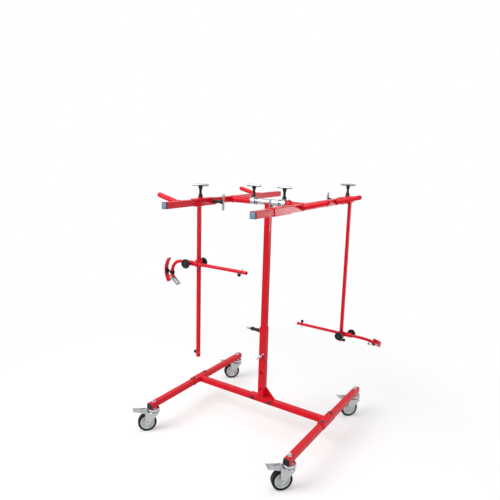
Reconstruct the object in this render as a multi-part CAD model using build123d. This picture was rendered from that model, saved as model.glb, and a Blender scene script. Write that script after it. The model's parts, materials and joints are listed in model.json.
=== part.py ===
"""Wheeled stand with a telescopic mast and two tilting carriers for work held upright.

Frame: origin on the floor under the middle of the whole stand, +X along the cross tube,
+Y along the rails, +Z up. The pieces are drawn about the middle of the base, which lies
a little in front of that point, because one gripper reaches out past its carrier bar.
All sizes are millimetres.
"""
from build123d import *
import math
import os

# Driving dimensions of the base
RAIL_SPAN = 676.0
CASTER_SPAN = 642.0
RAIL_OVERHANG = 24.0
MAST_X = 20.0
BASE_Y = -25.0

# Driving dimensions of the mast, the head and the carriers
MAST_TOP = 460.0
HEAD_HEIGHT = 1008.0
BAR_REACH = 194.0
BAR_LENGTH = 848.0
DROP_END = 333.0

# Driving dimensions of the sections
TUBE = 25.0
TUBE_WALL = 2.0
PLATE = 3.0
DROP_SIZE = 14.0
ROD_RADIUS = 7.0
SHAFT_RADIUS = 10.0

# Driving dimensions of the casters
WHEEL_RADIUS = 40.0
TYRE_WIDTH = 25.0
TRAIL = 28.0
TRAIL_HEADING = 229.0
PEDAL_REACH = 90.0

# Clearances of the fits
RUNNING = 0.08
SEATED = 0.05
SLIDING = 0.3
TIP_GAP = 0.3
MAST_PLAY = 0.5

# Corners and walls of the sections
TUBE_CORNER = 2.5
INNER_CORNER = 1.0
SLEEVE_WALL = 2.2
DROP_CORNER = 1.5
ROD_WALL = 1.6
WELD_SINK = 0.3

# Caster stack, from the tyre up to the rail
AXLE_Z = WHEEL_RADIUS
CROWN_CLEAR = 2.0
CROWN_WALL = 4.0
CROWN_BOSS = 4.0
RACE_GAP = 0.4
RACE_HEIGHT = 12.0
NECK_HEIGHT = 2.6
CROWN_BOTTOM = 2 * WHEEL_RADIUS + CROWN_CLEAR
CROWN_TOP = CROWN_BOTTOM + CROWN_WALL
RACE_BOTTOM = CROWN_TOP + CROWN_BOSS + RACE_GAP
CASTER_HEIGHT = RACE_BOTTOM + RACE_HEIGHT + NECK_HEIGHT

# Caster fork, kingpin and axle
CROWN_RADIUS = 25.0
CROWN_BOSS_RADIUS = 21.0
RACE_RADIUS = 26.5
NECK_RADIUS = 13.0
KINGPIN_RADIUS = 5.0
KINGPIN_HEAD_RADIUS = 8.5
KINGPIN_HEAD = 4.0
KINGPIN_END = 8.0
DOME_NUT_RADIUS = 9.0
DOME_NUT_BASE = 6.0
DOME_RADIUS = 7.4
AXLE_RADIUS = 4.0
AXLE_HEAD_RADIUS = 6.8
AXLE_HEAD = 4.0
LEG_GAP = 3.5
LEG_HALF = TYRE_WIDTH / 2 + LEG_GAP
LEG_WALL = 2.5
LEG_EYE = 9.0
LEG_SHOULDER = 5.0
LEG_SINK = 1.0
LEG_FRONT = -14.0
LEG_REAR = 20.0
EYE_RADIUS = 6.0
EYE_PIN = 3.0
EYE_GAP = 2.5
EYE_RISE = 2.5
EYE_X = RACE_RADIUS + EYE_GAP + EYE_PIN
EYE_Z = CROWN_TOP + EYE_RISE

# Caster wheel
TYRE_DEPTH = 9.0
TYRE_EDGE = 3.0
RIM_WALL = 5.0
RIM_RADIUS = WHEEL_RADIUS - TYRE_DEPTH
RIM_INSET = 1.0
WEB_HALF = 3.0
WEB_DRAFT = 1.0
HUB_CORE_RADIUS = 11.0
HUB_SIDE_GAP = 0.5

# Caster brake pedal
PEDAL_SIDE_GAP = 0.6
PEDAL_HALF = LEG_HALF - PEDAL_SIDE_GAP
PEDAL_WALL = 2.2
PEDAL_BACK = 3.5
PEDAL_HEEL = EYE_X - PEDAL_BACK
PEDAL_TILT = 5.0
PEDAL_RISE = 3.4
PEDAL_CORNER = 7.0
SKIRT_LENGTH = 29.0
SKIRT_END = EYE_X + SKIRT_LENGTH
SKIRT_TIP = 2.0
RIDGE_COUNT = 4
RIDGE_PITCH = 7.0
RIDGE_RADIUS = 1.2
RIDGE_MARGIN = 5.0
SHOE_AHEAD = 12.0
SHOE_X = EYE_X + SHOE_AHEAD
SHOE_LENGTH = 8.0
SHOE_WIDTH = 16.0
SHOE_CLEAR = 2.9

# Base frame
RAIL_LENGTH = CASTER_SPAN + 2 * RAIL_OVERHANG
RAIL_Z = CASTER_HEIGHT + TUBE / 2
DECK_Z = CASTER_HEIGHT + TUBE + PLATE
SADDLE_SIZE = TUBE + 2 * PLATE
SADDLE_DROP = TUBE - PLATE
SADDLE_LENGTH = 114.0
MAST_SADDLE_LENGTH = 116.0
RAIL_BOLT_PITCH = 87.0
MAST_BOLT_PITCH = 90.0
BOLT_RADIUS = 4.0
BOLT_HEAD_RADIUS = 6.8
BOLT_HEAD = 5.0
NUT_RADIUS = 7.4
NUT_HEIGHT = 6.0
THREAD_END = 2.0
CAP_HEAD = 4.0
CAP_PLUG = 16.0
CAP_ROUND = 1.4

# Mast
MAST_WALL = 2.0
MAST_SIZE = TUBE + 2 * MAST_PLAY + 2 * MAST_WALL
GUSSET_SIDE = 43.0
GUSSET_Y = 11.0
GUSSET_WALL = 4.0
PIN_RADIUS = 4.5
PIN_POINT = 3.5
PIN_TAPER = 2.0
PIN_DROP = 130.0
PIN_Z = MAST_TOP - PIN_DROP
PIN_PITCH = 80.0
PIN_HOLES = 3
PIN_TAIL = 7.0
PIN_HEAD_RADIUS = 7.0
PIN_HEAD = 10.0
PIN_HEAD_GAP = 8.0
RING_RADIUS = 14.0
RING_WIRE = 1.4
RING_HOLE = 2.6
MAST_LOCK_DROP = 22.0

# Lock handles
SCREW_RADIUS = 4.0
BOSS_RADIUS = 9.0
BOSS_HEIGHT = 6.0
HANDLE_GAP = 0.5
FLARE_RADIUS = 10.0
FLARE_HEIGHT = 3.0
WAIST_RADIUS = 5.2
GRIP_RADIUS = 9.0
GRIP_BASE = 38.0
GRIP_TOP = 44.0
HANDLE_EDGE = 1.5
STUB_RADIUS = 5.0
STUB_WALL = 1.5
CROSS_BAR_RISE = 0.6
CROSS_BAR_RADIUS = 3.0
CROSS_BAR_LENGTH = 64.0
CROSS_BAR_Z = GRIP_TOP + CROSS_BAR_RISE + CROSS_BAR_RADIUS
HANDLE_TOP = CROSS_BAR_Z + CROSS_BAR_RADIUS + STUB_WALL

# Head
BEARING_HALF = 52.0
BEARING_WALL = 3.5
BEARING_RADIUS = SHAFT_RADIUS + BEARING_WALL
CORE_WALL = 2.0
CORE_RADIUS = SHAFT_RADIUS + CORE_WALL
LOCK_RING_WALL = 5.0
LOCK_RING_RADIUS = SHAFT_RADIUS + LOCK_RING_WALL
LOCK_RING_WIDTH = 20.0
WASHER_WALL = 4.4
WASHER_RADIUS = SHAFT_RADIUS + WASHER_WALL
WASHER_GAP = 0.3
SEAL_WIDTH = 4.0
RIB_WIDTH = 4.0
THRUST_WIDTH = 3.0
RIB_START = BEARING_HALF + SEAL_WIDTH
RIB_END = RIB_START + RIB_WIDTH
RING_START = RIB_END + SEAL_WIDTH
RING_END = RING_START + LOCK_RING_WIDTH
RING_MID = (RING_START + RING_END) / 2
RING_BOSS_SINK = 3.6
RING_FOOT = LOCK_RING_RADIUS - RING_BOSS_SINK
RING_SEAT = RING_FOOT + BOSS_HEIGHT
HUB_START = RING_END + THRUST_WIDTH
HUB_WALL = 4.0
HUB_RADIUS = SHAFT_RADIUS + HUB_WALL
COLLAR_WIDTH = 20.0
SHAFT_CLEAR = 4.0
HUB_ENDS = {"left": BAR_REACH - TUBE / 2 - WASHER_GAP, "right": HUB_START + COLLAR_WIDTH}

# Carriers, with places measured in from the bar's ends
BAR_HALF = BAR_LENGTH / 2
BAR_TUBE_LENGTH = BAR_LENGTH - 2 * CAP_HEAD
HORN_LENGTH = 118.0
HORN_RADIUS = 10.0
HORN_ROOT = 2.2
HORN_FLARE = 14.0
HORN_TILT = 14.5
HORN_SINK = 3.5
LEFT_FRONT_HORN = 99.0
LEFT_REAR_HORN = 174.0
RIGHT_FRONT_HORN = 334.0
RIGHT_REAR_HORN = 194.0
HORN_PLACES = {
    "left": (BAR_HALF - LEFT_FRONT_HORN, LEFT_REAR_HORN - BAR_HALF),
    "right": (BAR_HALF - RIGHT_REAR_HORN, RIGHT_FRONT_HORN - BAR_HALF),
}

# Sliders and drop bars
SLEEVE_SIZE = TUBE + 2 * SLIDING + 2 * SLEEVE_WALL
SLEEVE_LENGTH = 126.0
TOP_LOCK_Y = 20.0
TOP_LOCK_TURN = 18.0
SIDE_LOCK_Y = -43.0
DROP_X = BAR_REACH + SLEEVE_SIZE / 2 + DROP_SIZE / 2 - WELD_SINK
LEFT_SLIDER = 233.0
RIGHT_SLIDER = 64.0
SPARE_SLIDER = 181.0
SLIDER_PLACES = {"left": BAR_HALF - LEFT_SLIDER, "right": BAR_HALF - RIGHT_SLIDER}
SPARE_PLACE = SPARE_SLIDER - BAR_HALF

# Stop pins
STOP_RADIUS = 2.5
STOP_TAIL = 12.0
BALL_RADIUS = 7.5
BALL_CLEAR = 1.0
LEFT_STOP = 19.0
RIGHT_STOP = 7.0
DROP_STOPS = {"left": LEFT_STOP, "right": RIGHT_STOP}

# Cross clamps and their knobs
CLAMP_WALL = 3.7
CLAMP_SIZE = DROP_SIZE + 2 * SLIDING + 2 * CLAMP_WALL
CLAMP_HEIGHT = 30.0
LEFT_CLAMP = 748.0
RIGHT_CLAMP = 364.0
CLAMP_HEIGHTS = {"left": LEFT_CLAMP, "right": RIGHT_CLAMP}
ROD_SLEEVE_WALL = 3.5
ROD_SLEEVE_RADIUS = ROD_RADIUS + ROD_SLEEVE_WALL
ROD_OFFSET = DROP_SIZE / 2 + ROD_SLEEVE_RADIUS
ROD_SLEEVE_OUT = 45.0
ROD_KNOB_X = 34.0
KNOB_RADIUS = 20.0
KNOB_THICK = 13.0
KNOB_EDGE = 4.0
KNOB_NECK_RADIUS = 8.0
KNOB_NECK = 6.0
KNOB_SCREW = 3.0
KNOB_BOSS_RADIUS = 7.0
KNOB_BOSS = 5.0

# Rods
LEFT_ROD = -36.0
RIGHT_ROD = -30.0
ROD_INNER = {"left": LEFT_ROD, "right": RIGHT_ROD}
ROD_LENGTH = 327.0
ROD_STOP_INSET = 27.0
ROD_STOP_TURN = {"left": 235.0, "right": 0.0}
SPIGOT_LENGTH = 22.0

# Gripper arms
ARM_LEAD = 6.0
ARM_BEND = 50.0
ARM_TAIL = 12.0
LUG_DROP = 14.0
LUG_HALF = 4.0
LUG_RADIUS = ROD_RADIUS
ARM_END_X = ARM_LEAD + ARM_BEND
PIVOT_Z = -(ARM_BEND + ARM_TAIL + LUG_DROP)
PIVOT_RADIUS = 3.0
PIVOT_HEAD_RADIUS = 4.6
PIVOT_HEAD = 2.0
SIDE_GAP = 0.3
PAD_DROP = 4.0
PAD_Z = -(ARM_BEND + PAD_DROP)
ARM_PAD_RADIUS = 8.0
ARM_PAD_WALL = 2.5
GRIPPER_ROLL = {"left": 0.0, "right": 60.0}

# Gripper jaws and levers
JAW_RADIUS = 85.0
JAW_X = ARM_LEAD
JAW_RISE = 2.0
JAW_Z = JAW_RISE - ARM_BEND
JAW_WALL = 5.0
JAW_WIDTH = 20.0
JAW_TOP_ANGLE = 38.0
JAW_LOW_ANGLE = -36.0
EAR_WALL = 3.0
EAR_ANGLES = (-20.0, -31.0)
JAW_PAD_RADIUS = 10.0
JAW_PAD_WALL = 6.0
EAR_Y = LUG_HALF + SIDE_GAP + EAR_WALL / 2
LEVER_WALL = 2.5
LEVER_Y = EAR_Y + EAR_WALL / 2 + SIDE_GAP + LEVER_WALL / 2
LEVER_REACH = 42.0
LEVER_HEADING = 217.0
LEVER_EYE = 6.0
LEVER_TIP = 4.5

CASTERS = {
    "front_left": (-1, -1),
    "front_right": (1, -1),
    "rear_left": (-1, 1),
    "rear_right": (1, 1),
}
SIDES = ("left", "right")
UPRIGHT = (Align.CENTER, Align.CENTER, Align.MIN)


def square_tube(size, wall, length, corner=TUBE_CORNER):
    """Square tube along Z with rounded corners, centred on its length."""
    inside = size - 2 * wall
    section = RectangleRounded(size, size, corner) - RectangleRounded(inside, inside, INNER_CORNER)
    return extrude(section, amount=length / 2, both=True)


def along_x(shape):
    """Turns a piece drawn along Z to lie along X."""
    return Rot(0, 90, 0) * shape


def along_y(shape):
    """Turns a piece drawn along Z to lie along Y."""
    return Rot(-90, 0, 0) * shape


def turned(*points):
    """Solid of revolution about Z from points given as radius and height."""
    return revolve(Plane.XZ * make_face(Polyline(*points, close=True)), Axis.Z)


def ring(inner, outer, start, end):
    """Plain ring about Z."""
    return turned((inner, start), (outer, start), (outer, end), (inner, end))


def disc(x, z, radius):
    """Round outline in the plane of a side plate."""
    return Pos(x, z) * Circle(radius)


def hull(*discs):
    """Outline drawn tight round several round outlines."""
    return make_hull(ShapeList(edge for item in discs for edge in item.edges()))


def side_plate(outline, wall, y):
    """Plate with its outline in X and Z, centred at a place along Y."""
    return Pos(0, y, 0) * extrude(Plane.XZ * outline, amount=wall / 2, both=True)


def on_side(shape, side):
    """Places a piece drawn for the right carrier, half a turn round the mast for the left."""
    half_turn = 180 if side == "left" else 0
    return Pos(MAST_X, 0, 0) * Rot(0, 0, half_turn) * shape


# Base frame


def bolt(length):
    """Round headed bolt with its seat at zero and its shank down."""
    head = Cylinder(BOLT_HEAD_RADIUS, BOLT_HEAD, align=UPRIGHT)
    head = fillet(head.edges().group_by(Axis.Z)[-1], BOLT_HEAD / 2)
    return head + Pos(0, 0, -length) * Cylinder(BOLT_RADIUS, length, align=UPRIGHT)


def nut():
    """Hexagon nut hanging from its seat at zero."""
    section = RegularPolygon(NUT_RADIUS, 6) - Circle(BOLT_RADIUS + SEATED)
    return extrude(section, amount=-NUT_HEIGHT)


def bolt_pair(pitch):
    """Two places either side of zero."""
    return (-pitch / 2, pitch / 2)


def saddle(length):
    """Folded saddle that drops over a tube along Y, drawn about the tube's middle."""
    section = Pos(0, (PLATE - SADDLE_DROP) / 2) * Rectangle(SADDLE_SIZE, SADDLE_DROP + PLATE)
    section -= Pos(0, -SADDLE_DROP / 2) * Rectangle(TUBE, SADDLE_DROP)
    body = Pos(0, 0, TUBE / 2) * extrude(Plane.XZ * section, amount=length / 2, both=True)
    folds = body.edges().filter_by(Axis.Y).group_by(Axis.Z)[-1]
    return fillet(folds, PLATE - INNER_CORNER)


def rail():
    """One side rail about its own middle, drilled for casters and junction bolts."""
    body = along_y(square_tube(TUBE, TUBE_WALL, RAIL_LENGTH))
    for y in bolt_pair(CASTER_SPAN):
        body -= Pos(0, y, 0) * Cylinder(KINGPIN_RADIUS + SEATED, 2 * TUBE)
    for y in bolt_pair(RAIL_BOLT_PITCH):
        body -= Pos(0, y, 0) * Cylinder(BOLT_RADIUS + SEATED, 2 * TUBE)
    return Pos(0, 0, RAIL_Z) * body


def end_plug():
    """Push-in end plug, its head above zero and its hollow plug below."""
    plug_size = TUBE - 2 * TUBE_WALL - 2 * SEATED
    head = extrude(RectangleRounded(TUBE, TUBE, TUBE_CORNER), amount=CAP_HEAD)
    head = fillet(head.edges().group_by(Axis.Z)[-1], CAP_ROUND)
    plug = square_tube(plug_size, TUBE_WALL, CAP_PLUG, INNER_CORNER + SEATED)
    return head + Pos(0, 0, -CAP_PLUG / 2) * plug


def end_plug_pair(half_length):
    """Two plugs that close a tube along Y."""
    plug = along_y(end_plug())
    return [Pos(0, half_length, 0) * plug, Pos(0, -half_length, 0) * Rot(0, 0, 180) * plug]


def rail_end_caps():
    """Plugs in the four rail ends."""
    caps = []
    for x in bolt_pair(RAIL_SPAN):
        caps += [Pos(x, 0, RAIL_Z) * cap for cap in end_plug_pair(RAIL_LENGTH / 2)]
    return caps


def cross_member():
    """Cross tube with a folded saddle welded on each end."""
    body = along_x(square_tube(TUBE, TUBE_WALL, RAIL_SPAN - SADDLE_SIZE))
    for x in bolt_pair(MAST_BOLT_PITCH):
        body -= Pos(MAST_X + x, 0, 0) * along_y(Cylinder(BOLT_RADIUS + SEATED, 2 * TUBE))
    end = saddle(SADDLE_LENGTH)
    for y in bolt_pair(RAIL_BOLT_PITCH):
        end -= Pos(0, y, TUBE / 2) * Cylinder(BOLT_RADIUS + SEATED, TUBE)
    for x in bolt_pair(RAIL_SPAN):
        body += Pos(x, 0, 0) * end
    return Pos(0, 0, RAIL_Z) * body


def frame_bolts():
    """Junction bolts down through the rails and saddle bolts across the cross tube."""
    pieces = []
    for x in bolt_pair(RAIL_SPAN):
        for y in bolt_pair(RAIL_BOLT_PITCH):
            pieces.append(Pos(x, y, DECK_Z) * bolt(TUBE + PLATE + NUT_HEIGHT + THREAD_END))
            pieces.append(Pos(x, y, CASTER_HEIGHT) * nut())
    for x in bolt_pair(MAST_BOLT_PITCH):
        across = Pos(MAST_X + x, 0, RAIL_Z) * Rot(90, 0, 0)
        through = bolt(SADDLE_SIZE + NUT_HEIGHT + THREAD_END)
        pieces.append(across * Pos(0, 0, SADDLE_SIZE / 2) * through)
        pieces.append(across * Pos(0, 0, -SADDLE_SIZE / 2) * nut())
    return pieces


# Casters, drawn with the kingpin on Z and the wheel trailing towards +X


def caster_bolts():
    """Kingpin, upper race and dome nut of one caster."""
    head_z = CROWN_BOTTOM - SEATED - KINGPIN_HEAD
    rail_top = CASTER_HEIGHT + TUBE
    kingpin = turned(
        (0, head_z),
        (KINGPIN_HEAD_RADIUS, head_z),
        (KINGPIN_HEAD_RADIUS, head_z + KINGPIN_HEAD),
        (KINGPIN_RADIUS, head_z + KINGPIN_HEAD),
        (KINGPIN_RADIUS, rail_top + KINGPIN_END),
        (0, rail_top + KINGPIN_END),
    )
    bore = KINGPIN_RADIUS + SEATED
    race_top = RACE_BOTTOM + RACE_HEIGHT
    race = turned(
        (bore, RACE_BOTTOM),
        (RACE_RADIUS, RACE_BOTTOM),
        (RACE_RADIUS, race_top - CAP_ROUND),
        (RACE_RADIUS - CAP_ROUND, race_top),
        (NECK_RADIUS, race_top),
        (NECK_RADIUS, CASTER_HEIGHT),
        (bore, CASTER_HEIGHT),
    )
    dome = Pos(0, 0, DOME_NUT_BASE) * Sphere(DOME_RADIUS)
    dome = extrude(RegularPolygon(DOME_NUT_RADIUS, 6), amount=DOME_NUT_BASE) + split(dome, Plane.XY)
    dome -= Cylinder(bore, 2 * (KINGPIN_END + SEATED))
    return [kingpin, race, Pos(0, 0, rail_top) * dome]


def fork():
    """Pressed fork with its crown, pedal eyes and pedal pin, and the axle bolt through it."""
    eye = disc(EYE_X, EYE_Z, EYE_RADIUS)
    shoulder_z = CROWN_TOP - LEG_SINK - LEG_SHOULDER
    front = disc(LEG_FRONT, shoulder_z, LEG_SHOULDER)
    rear = disc(LEG_REAR, shoulder_z, LEG_SHOULDER)
    foot = disc(TRAIL, AXLE_Z, LEG_EYE)
    outline = hull(front, rear, foot) + hull(rear, eye, foot)
    outline -= disc(TRAIL, AXLE_Z, AXLE_RADIUS + SEATED)
    body = turned(
        (KINGPIN_RADIUS + RUNNING, CROWN_BOTTOM),
        (CROWN_RADIUS, CROWN_BOTTOM),
        (CROWN_RADIUS, CROWN_TOP - CAP_ROUND),
        (CROWN_RADIUS - CAP_ROUND, CROWN_TOP),
        (CROWN_BOSS_RADIUS, CROWN_TOP + CROWN_BOSS),
        (KINGPIN_RADIUS + RUNNING, CROWN_TOP + CROWN_BOSS),
    )
    leg_y = LEG_HALF + LEG_WALL / 2
    for y in (-leg_y, leg_y):
        body += side_plate(outline, LEG_WALL, y)
    body += Pos(EYE_X, 0, EYE_Z) * along_y(Cylinder(EYE_PIN, 2 * LEG_HALF + LEG_WALL))
    grip = LEG_HALF + LEG_WALL
    axle = Cylinder(AXLE_RADIUS, 2 * grip)
    head = extrude(RegularPolygon(AXLE_HEAD_RADIUS, 6), amount=AXLE_HEAD / 2, both=True)
    for z in (-grip - AXLE_HEAD / 2, grip + AXLE_HEAD / 2):
        axle += Pos(0, 0, z) * head
    return [body, Pos(TRAIL, 0, AXLE_Z) * along_y(axle)]


def hub():
    """Dished wheel centre with a long core that runs on the axle."""
    bore = AXLE_RADIUS + RUNNING
    core = LEG_HALF - HUB_SIDE_GAP
    rim = TYRE_WIDTH / 2 - RIM_INSET
    lip = RIM_RADIUS - RIM_WALL
    half = [(bore, core), (HUB_CORE_RADIUS, core), (HUB_CORE_RADIUS + WEB_DRAFT, WEB_HALF)]
    half += [(lip - WEB_DRAFT, WEB_HALF), (lip, rim), (RIM_RADIUS, rim)]
    other = [(radius, -height) for radius, height in reversed(half)]
    return Pos(TRAIL, 0, AXLE_Z) * along_y(turned(*half, *other))


def tyre():
    """Solid tyre with round shoulders, seated on the hub's rim."""
    body = ring(RIM_RADIUS + SEATED, WHEEL_RADIUS, -TYRE_WIDTH / 2, TYRE_WIDTH / 2)
    shoulders = body.edges().filter_by(GeomType.CIRCLE).sort_by(SortBy.RADIUS)[-2:]
    body = fillet(shoulders, TYRE_EDGE)
    return Pos(TRAIL, 0, AXLE_Z) * along_y(body)


def pedal():
    """Pressed brake pedal with skirts on the fork's pin, tread ridges and the brake shoe."""
    under = EYE_Z + PEDAL_RISE
    reach = PEDAL_REACH - PEDAL_HEEL
    tread = Rectangle(reach, 2 * PEDAL_HALF)
    tread = fillet(tread.vertices().group_by(Axis.X)[-1], PEDAL_CORNER)
    body = Pos(PEDAL_HEEL + reach / 2, 0, under) * extrude(tread, amount=PEDAL_WALL)
    for step in range(RIDGE_COUNT):
        ridge_x = PEDAL_REACH - RIDGE_MARGIN - step * RIDGE_PITCH
        ridge = along_y(Cylinder(RIDGE_RADIUS, 2 * (PEDAL_HALF - PEDAL_CORNER)))
        body += Pos(ridge_x, 0, under + PEDAL_WALL) * ridge
    heel = disc(PEDAL_HEEL + SKIRT_TIP, under - SKIRT_TIP + WELD_SINK, SKIRT_TIP)
    toe = disc(SKIRT_END, under - SKIRT_TIP + WELD_SINK, SKIRT_TIP)
    outline = hull(heel, toe, disc(EYE_X, EYE_Z, EYE_RADIUS))
    outline -= disc(EYE_X, EYE_Z, EYE_PIN + RUNNING)
    skirt_y = PEDAL_HALF - PEDAL_WALL / 2
    for y in (-skirt_y, skirt_y):
        body += side_plate(outline, PEDAL_WALL, y)
    tread_z = AXLE_Z + math.sqrt(WHEEL_RADIUS**2 - (SHOE_X - TRAIL) ** 2) + SHOE_CLEAR
    shoe = Box(SHOE_LENGTH, SHOE_WIDTH, under - tread_z + WELD_SINK, align=UPRIGHT)
    body += Pos(SHOE_X, 0, tread_z) * shoe
    return Pos(EYE_X, 0, EYE_Z) * Rot(0, -PEDAL_TILT, 0) * Pos(-EYE_X, 0, -EYE_Z) * body


# Lock handles


def lock_boss():
    """Weld nut with its foot at zero."""
    return Cylinder(BOSS_RADIUS, BOSS_HEIGHT, align=UPRIGHT)


def lock_hole(wall):
    """Hole for a lock screw, through a weld nut and the wall under it."""
    depth = BOSS_HEIGHT + wall + 2 * SLIDING
    return Pos(0, 0, -wall - SLIDING) * Cylinder(SCREW_RADIUS + SEATED, depth, align=UPRIGHT)


def lock_handle(reach):
    """Waisted grip with its screw below the seat at zero, and the cross bar over it along X."""
    waist = ThreePointArc(
        (FLARE_RADIUS, FLARE_HEIGHT),
        (WAIST_RADIUS, (FLARE_HEIGHT + GRIP_BASE) / 2),
        (GRIP_RADIUS, GRIP_BASE),
    )
    foot = Polyline(
        (0, -reach),
        (SCREW_RADIUS, -reach),
        (SCREW_RADIUS, HANDLE_GAP),
        (FLARE_RADIUS, HANDLE_GAP),
        waist @ 0,
    )
    grip = Polyline(
        waist @ 1,
        (GRIP_RADIUS, GRIP_TOP - HANDLE_EDGE),
        (GRIP_RADIUS - HANDLE_EDGE, GRIP_TOP),
        (STUB_RADIUS, GRIP_TOP),
        (STUB_RADIUS, HANDLE_TOP - STUB_WALL),
        (STUB_RADIUS - STUB_WALL, HANDLE_TOP),
        (0, HANDLE_TOP),
        (0, -reach),
    )
    stem = revolve(Plane.XZ * make_face(foot.edges() + waist.edges() + grip.edges()), Axis.Z)
    cross = Pos(0, 0, CROSS_BAR_Z)
    stem -= cross * along_x(Cylinder(CROSS_BAR_RADIUS + SEATED, 3 * STUB_RADIUS))
    bar = Cylinder(CROSS_BAR_RADIUS, CROSS_BAR_LENGTH)
    bar = chamfer(bar.edges().filter_by(GeomType.CIRCLE), CROSS_BAR_RADIUS / 3)
    return [stem, cross * along_x(bar)]


def placed_handle(reach, seat, outward, bar_way):
    """Lock handle with its seat, its outward direction and its cross bar's direction."""
    frame = Plane(origin=seat, x_dir=bar_way, z_dir=outward)
    return [frame.location * piece for piece in lock_handle(reach)]


# Mast and head


def mast_outer():
    """Lower mast tube on its saddle, with the gusset, the pin holes and the lock's weld nut."""
    length = MAST_TOP - DECK_Z
    body = Pos(0, 0, DECK_Z + length / 2) * square_tube(MAST_SIZE, MAST_WALL, length)
    foot = Rot(0, 0, 90) * saddle(MAST_SADDLE_LENGTH)
    for x in bolt_pair(MAST_BOLT_PITCH):
        foot -= Pos(x, 0, 0) * along_y(Cylinder(BOLT_RADIUS + SEATED, 2 * TUBE))
    body += Pos(0, 0, RAIL_Z) * foot
    face = MAST_SIZE / 2 - WELD_SINK
    corners = ((face, DECK_Z), (face + GUSSET_SIDE, DECK_Z), (face, DECK_Z + GUSSET_SIDE))
    body += side_plate(Polygon(*corners, align=None), GUSSET_WALL, GUSSET_Y)
    for step in range(PIN_HOLES):
        pin_hole = along_y(Cylinder(PIN_RADIUS + RUNNING, 2 * MAST_SIZE))
        body -= Pos(0, 0, PIN_Z - step * PIN_PITCH) * pin_hole
    seat = Pos(-MAST_SIZE / 2, 0, MAST_TOP - MAST_LOCK_DROP) * Rot(0, -90, 0)
    body += seat * lock_boss()
    body -= seat * lock_hole(MAST_WALL)
    return Pos(MAST_X, 0, 0) * body


def mast_lock():
    """Handle that clamps the inner mast."""
    seat = (MAST_X - MAST_SIZE / 2 - BOSS_HEIGHT, 0, MAST_TOP - MAST_LOCK_DROP)
    reach = BOSS_HEIGHT + MAST_WALL + MAST_PLAY - TIP_GAP
    return placed_handle(reach, seat, (-1, 0, 0), (0, 1, 1))


def height_pin():
    """Pin under the inner mast, pulled out forwards by its ring."""
    front = -MAST_SIZE / 2 - PIN_HEAD_GAP
    tail = MAST_SIZE / 2 + PIN_TAIL
    pin = turned(
        (0, -tail),
        (PIN_POINT, -tail),
        (PIN_RADIUS, PIN_TAPER - tail),
        (PIN_RADIUS, -front),
        (PIN_HEAD_RADIUS, -front),
        (PIN_HEAD_RADIUS, PIN_HEAD - front),
        (0, PIN_HEAD - front),
    )
    pin = Rot(90, 0, 0) * pin
    ring_y = front - PIN_HEAD / 2
    pin -= Pos(0, ring_y, 0) * along_x(Cylinder(RING_HOLE, 3 * PIN_HEAD_RADIUS))
    loop = Rot(90, 0, 0) * Torus(RING_RADIUS, RING_WIRE)
    loop = Pos(0, ring_y, RING_HOLE - RING_WIRE - SLIDING - RING_RADIUS) * loop
    return [Pos(MAST_X, 0, PIN_Z) * piece for piece in (pin, loop)]


def mast_inner():
    """Upper mast tube, resting on the height pin and coped to the bearing tube."""
    bottom = PIN_Z + PIN_RADIUS + SEATED
    length = HEAD_HEIGHT - bottom
    body = Pos(0, 0, bottom + length / 2) * square_tube(TUBE, TUBE_WALL, length)
    body -= Pos(0, 0, HEAD_HEIGHT) * along_x(Cylinder(BEARING_RADIUS + SEATED, 2 * BEARING_HALF))
    return Pos(MAST_X, 0, 0) * body


def spindle_tube():
    """Bearing tube with a rib between its seal grooves and a lock ring at each end."""
    bore = SHAFT_RADIUS + RUNNING
    half = [(bore, RING_END), (LOCK_RING_RADIUS, RING_END), (LOCK_RING_RADIUS, RING_START)]
    half += [(CORE_RADIUS, RING_START), (CORE_RADIUS, RIB_END), (BEARING_RADIUS, RIB_END)]
    half += [(BEARING_RADIUS, RIB_START), (CORE_RADIUS, RIB_START)]
    half += [(CORE_RADIUS, BEARING_HALF), (BEARING_RADIUS, BEARING_HALF)]
    other = [(radius, -height) for radius, height in reversed(half)]
    body = along_x(turned(*half, *other))
    for x in (-RING_MID, RING_MID):
        seat = Pos(x, 0, RING_FOOT)
        body += seat * lock_boss()
        body -= seat * lock_hole(CORE_WALL)
    return Pos(MAST_X, 0, HEAD_HEIGHT) * body


def spindle_washers():
    """Two seal rings in each end's grooves and a thrust washer on each shaft."""
    rings = (
        (CORE_RADIUS, BEARING_HALF, RIB_START),
        (CORE_RADIUS, RIB_END, RING_START),
        (SHAFT_RADIUS, RING_END, HUB_START),
    )
    pieces = []
    for side in SIDES:
        for inner, start, end in rings:
            washer = ring(inner + RUNNING, WASHER_RADIUS, start + WASHER_GAP, end - WASHER_GAP)
            pieces.append(on_side(Pos(0, 0, HEAD_HEIGHT) * along_x(washer), side))
    return pieces


def spindle_lock(side):
    """Handle that clamps one carrier's shaft."""
    seat = (RING_MID, 0, HEAD_HEIGHT + RING_SEAT)
    reach = RING_SEAT - SHAFT_RADIUS - TIP_GAP
    return [on_side(piece, side) for piece in placed_handle(reach, seat, (0, 0, 1), (1, 0, 0))]


# Carriers, drawn for the right side with the mast axis on Z


def horn():
    """Support horn with a flared root and a round tip, along Z."""
    straight = HORN_LENGTH - HORN_RADIUS
    root = HORN_RADIUS + HORN_ROOT
    throat = HORN_RADIUS + HORN_ROOT / 3
    flare = ThreePointArc((root, 0), (throat, HORN_FLARE / 2), (HORN_RADIUS, HORN_FLARE))
    side = Line(flare @ 1, (HORN_RADIUS, straight))
    bend = HORN_RADIUS / math.sqrt(2)
    tip = ThreePointArc(side @ 1, (bend, straight + bend), (0, HORN_LENGTH))
    back = Polyline(tip @ 1, (0, 0), flare @ 0)
    edges = flare.edges() + side.edges() + tip.edges() + back.edges()
    return revolve(Plane.XZ * make_face(edges), Axis.Z)


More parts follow.
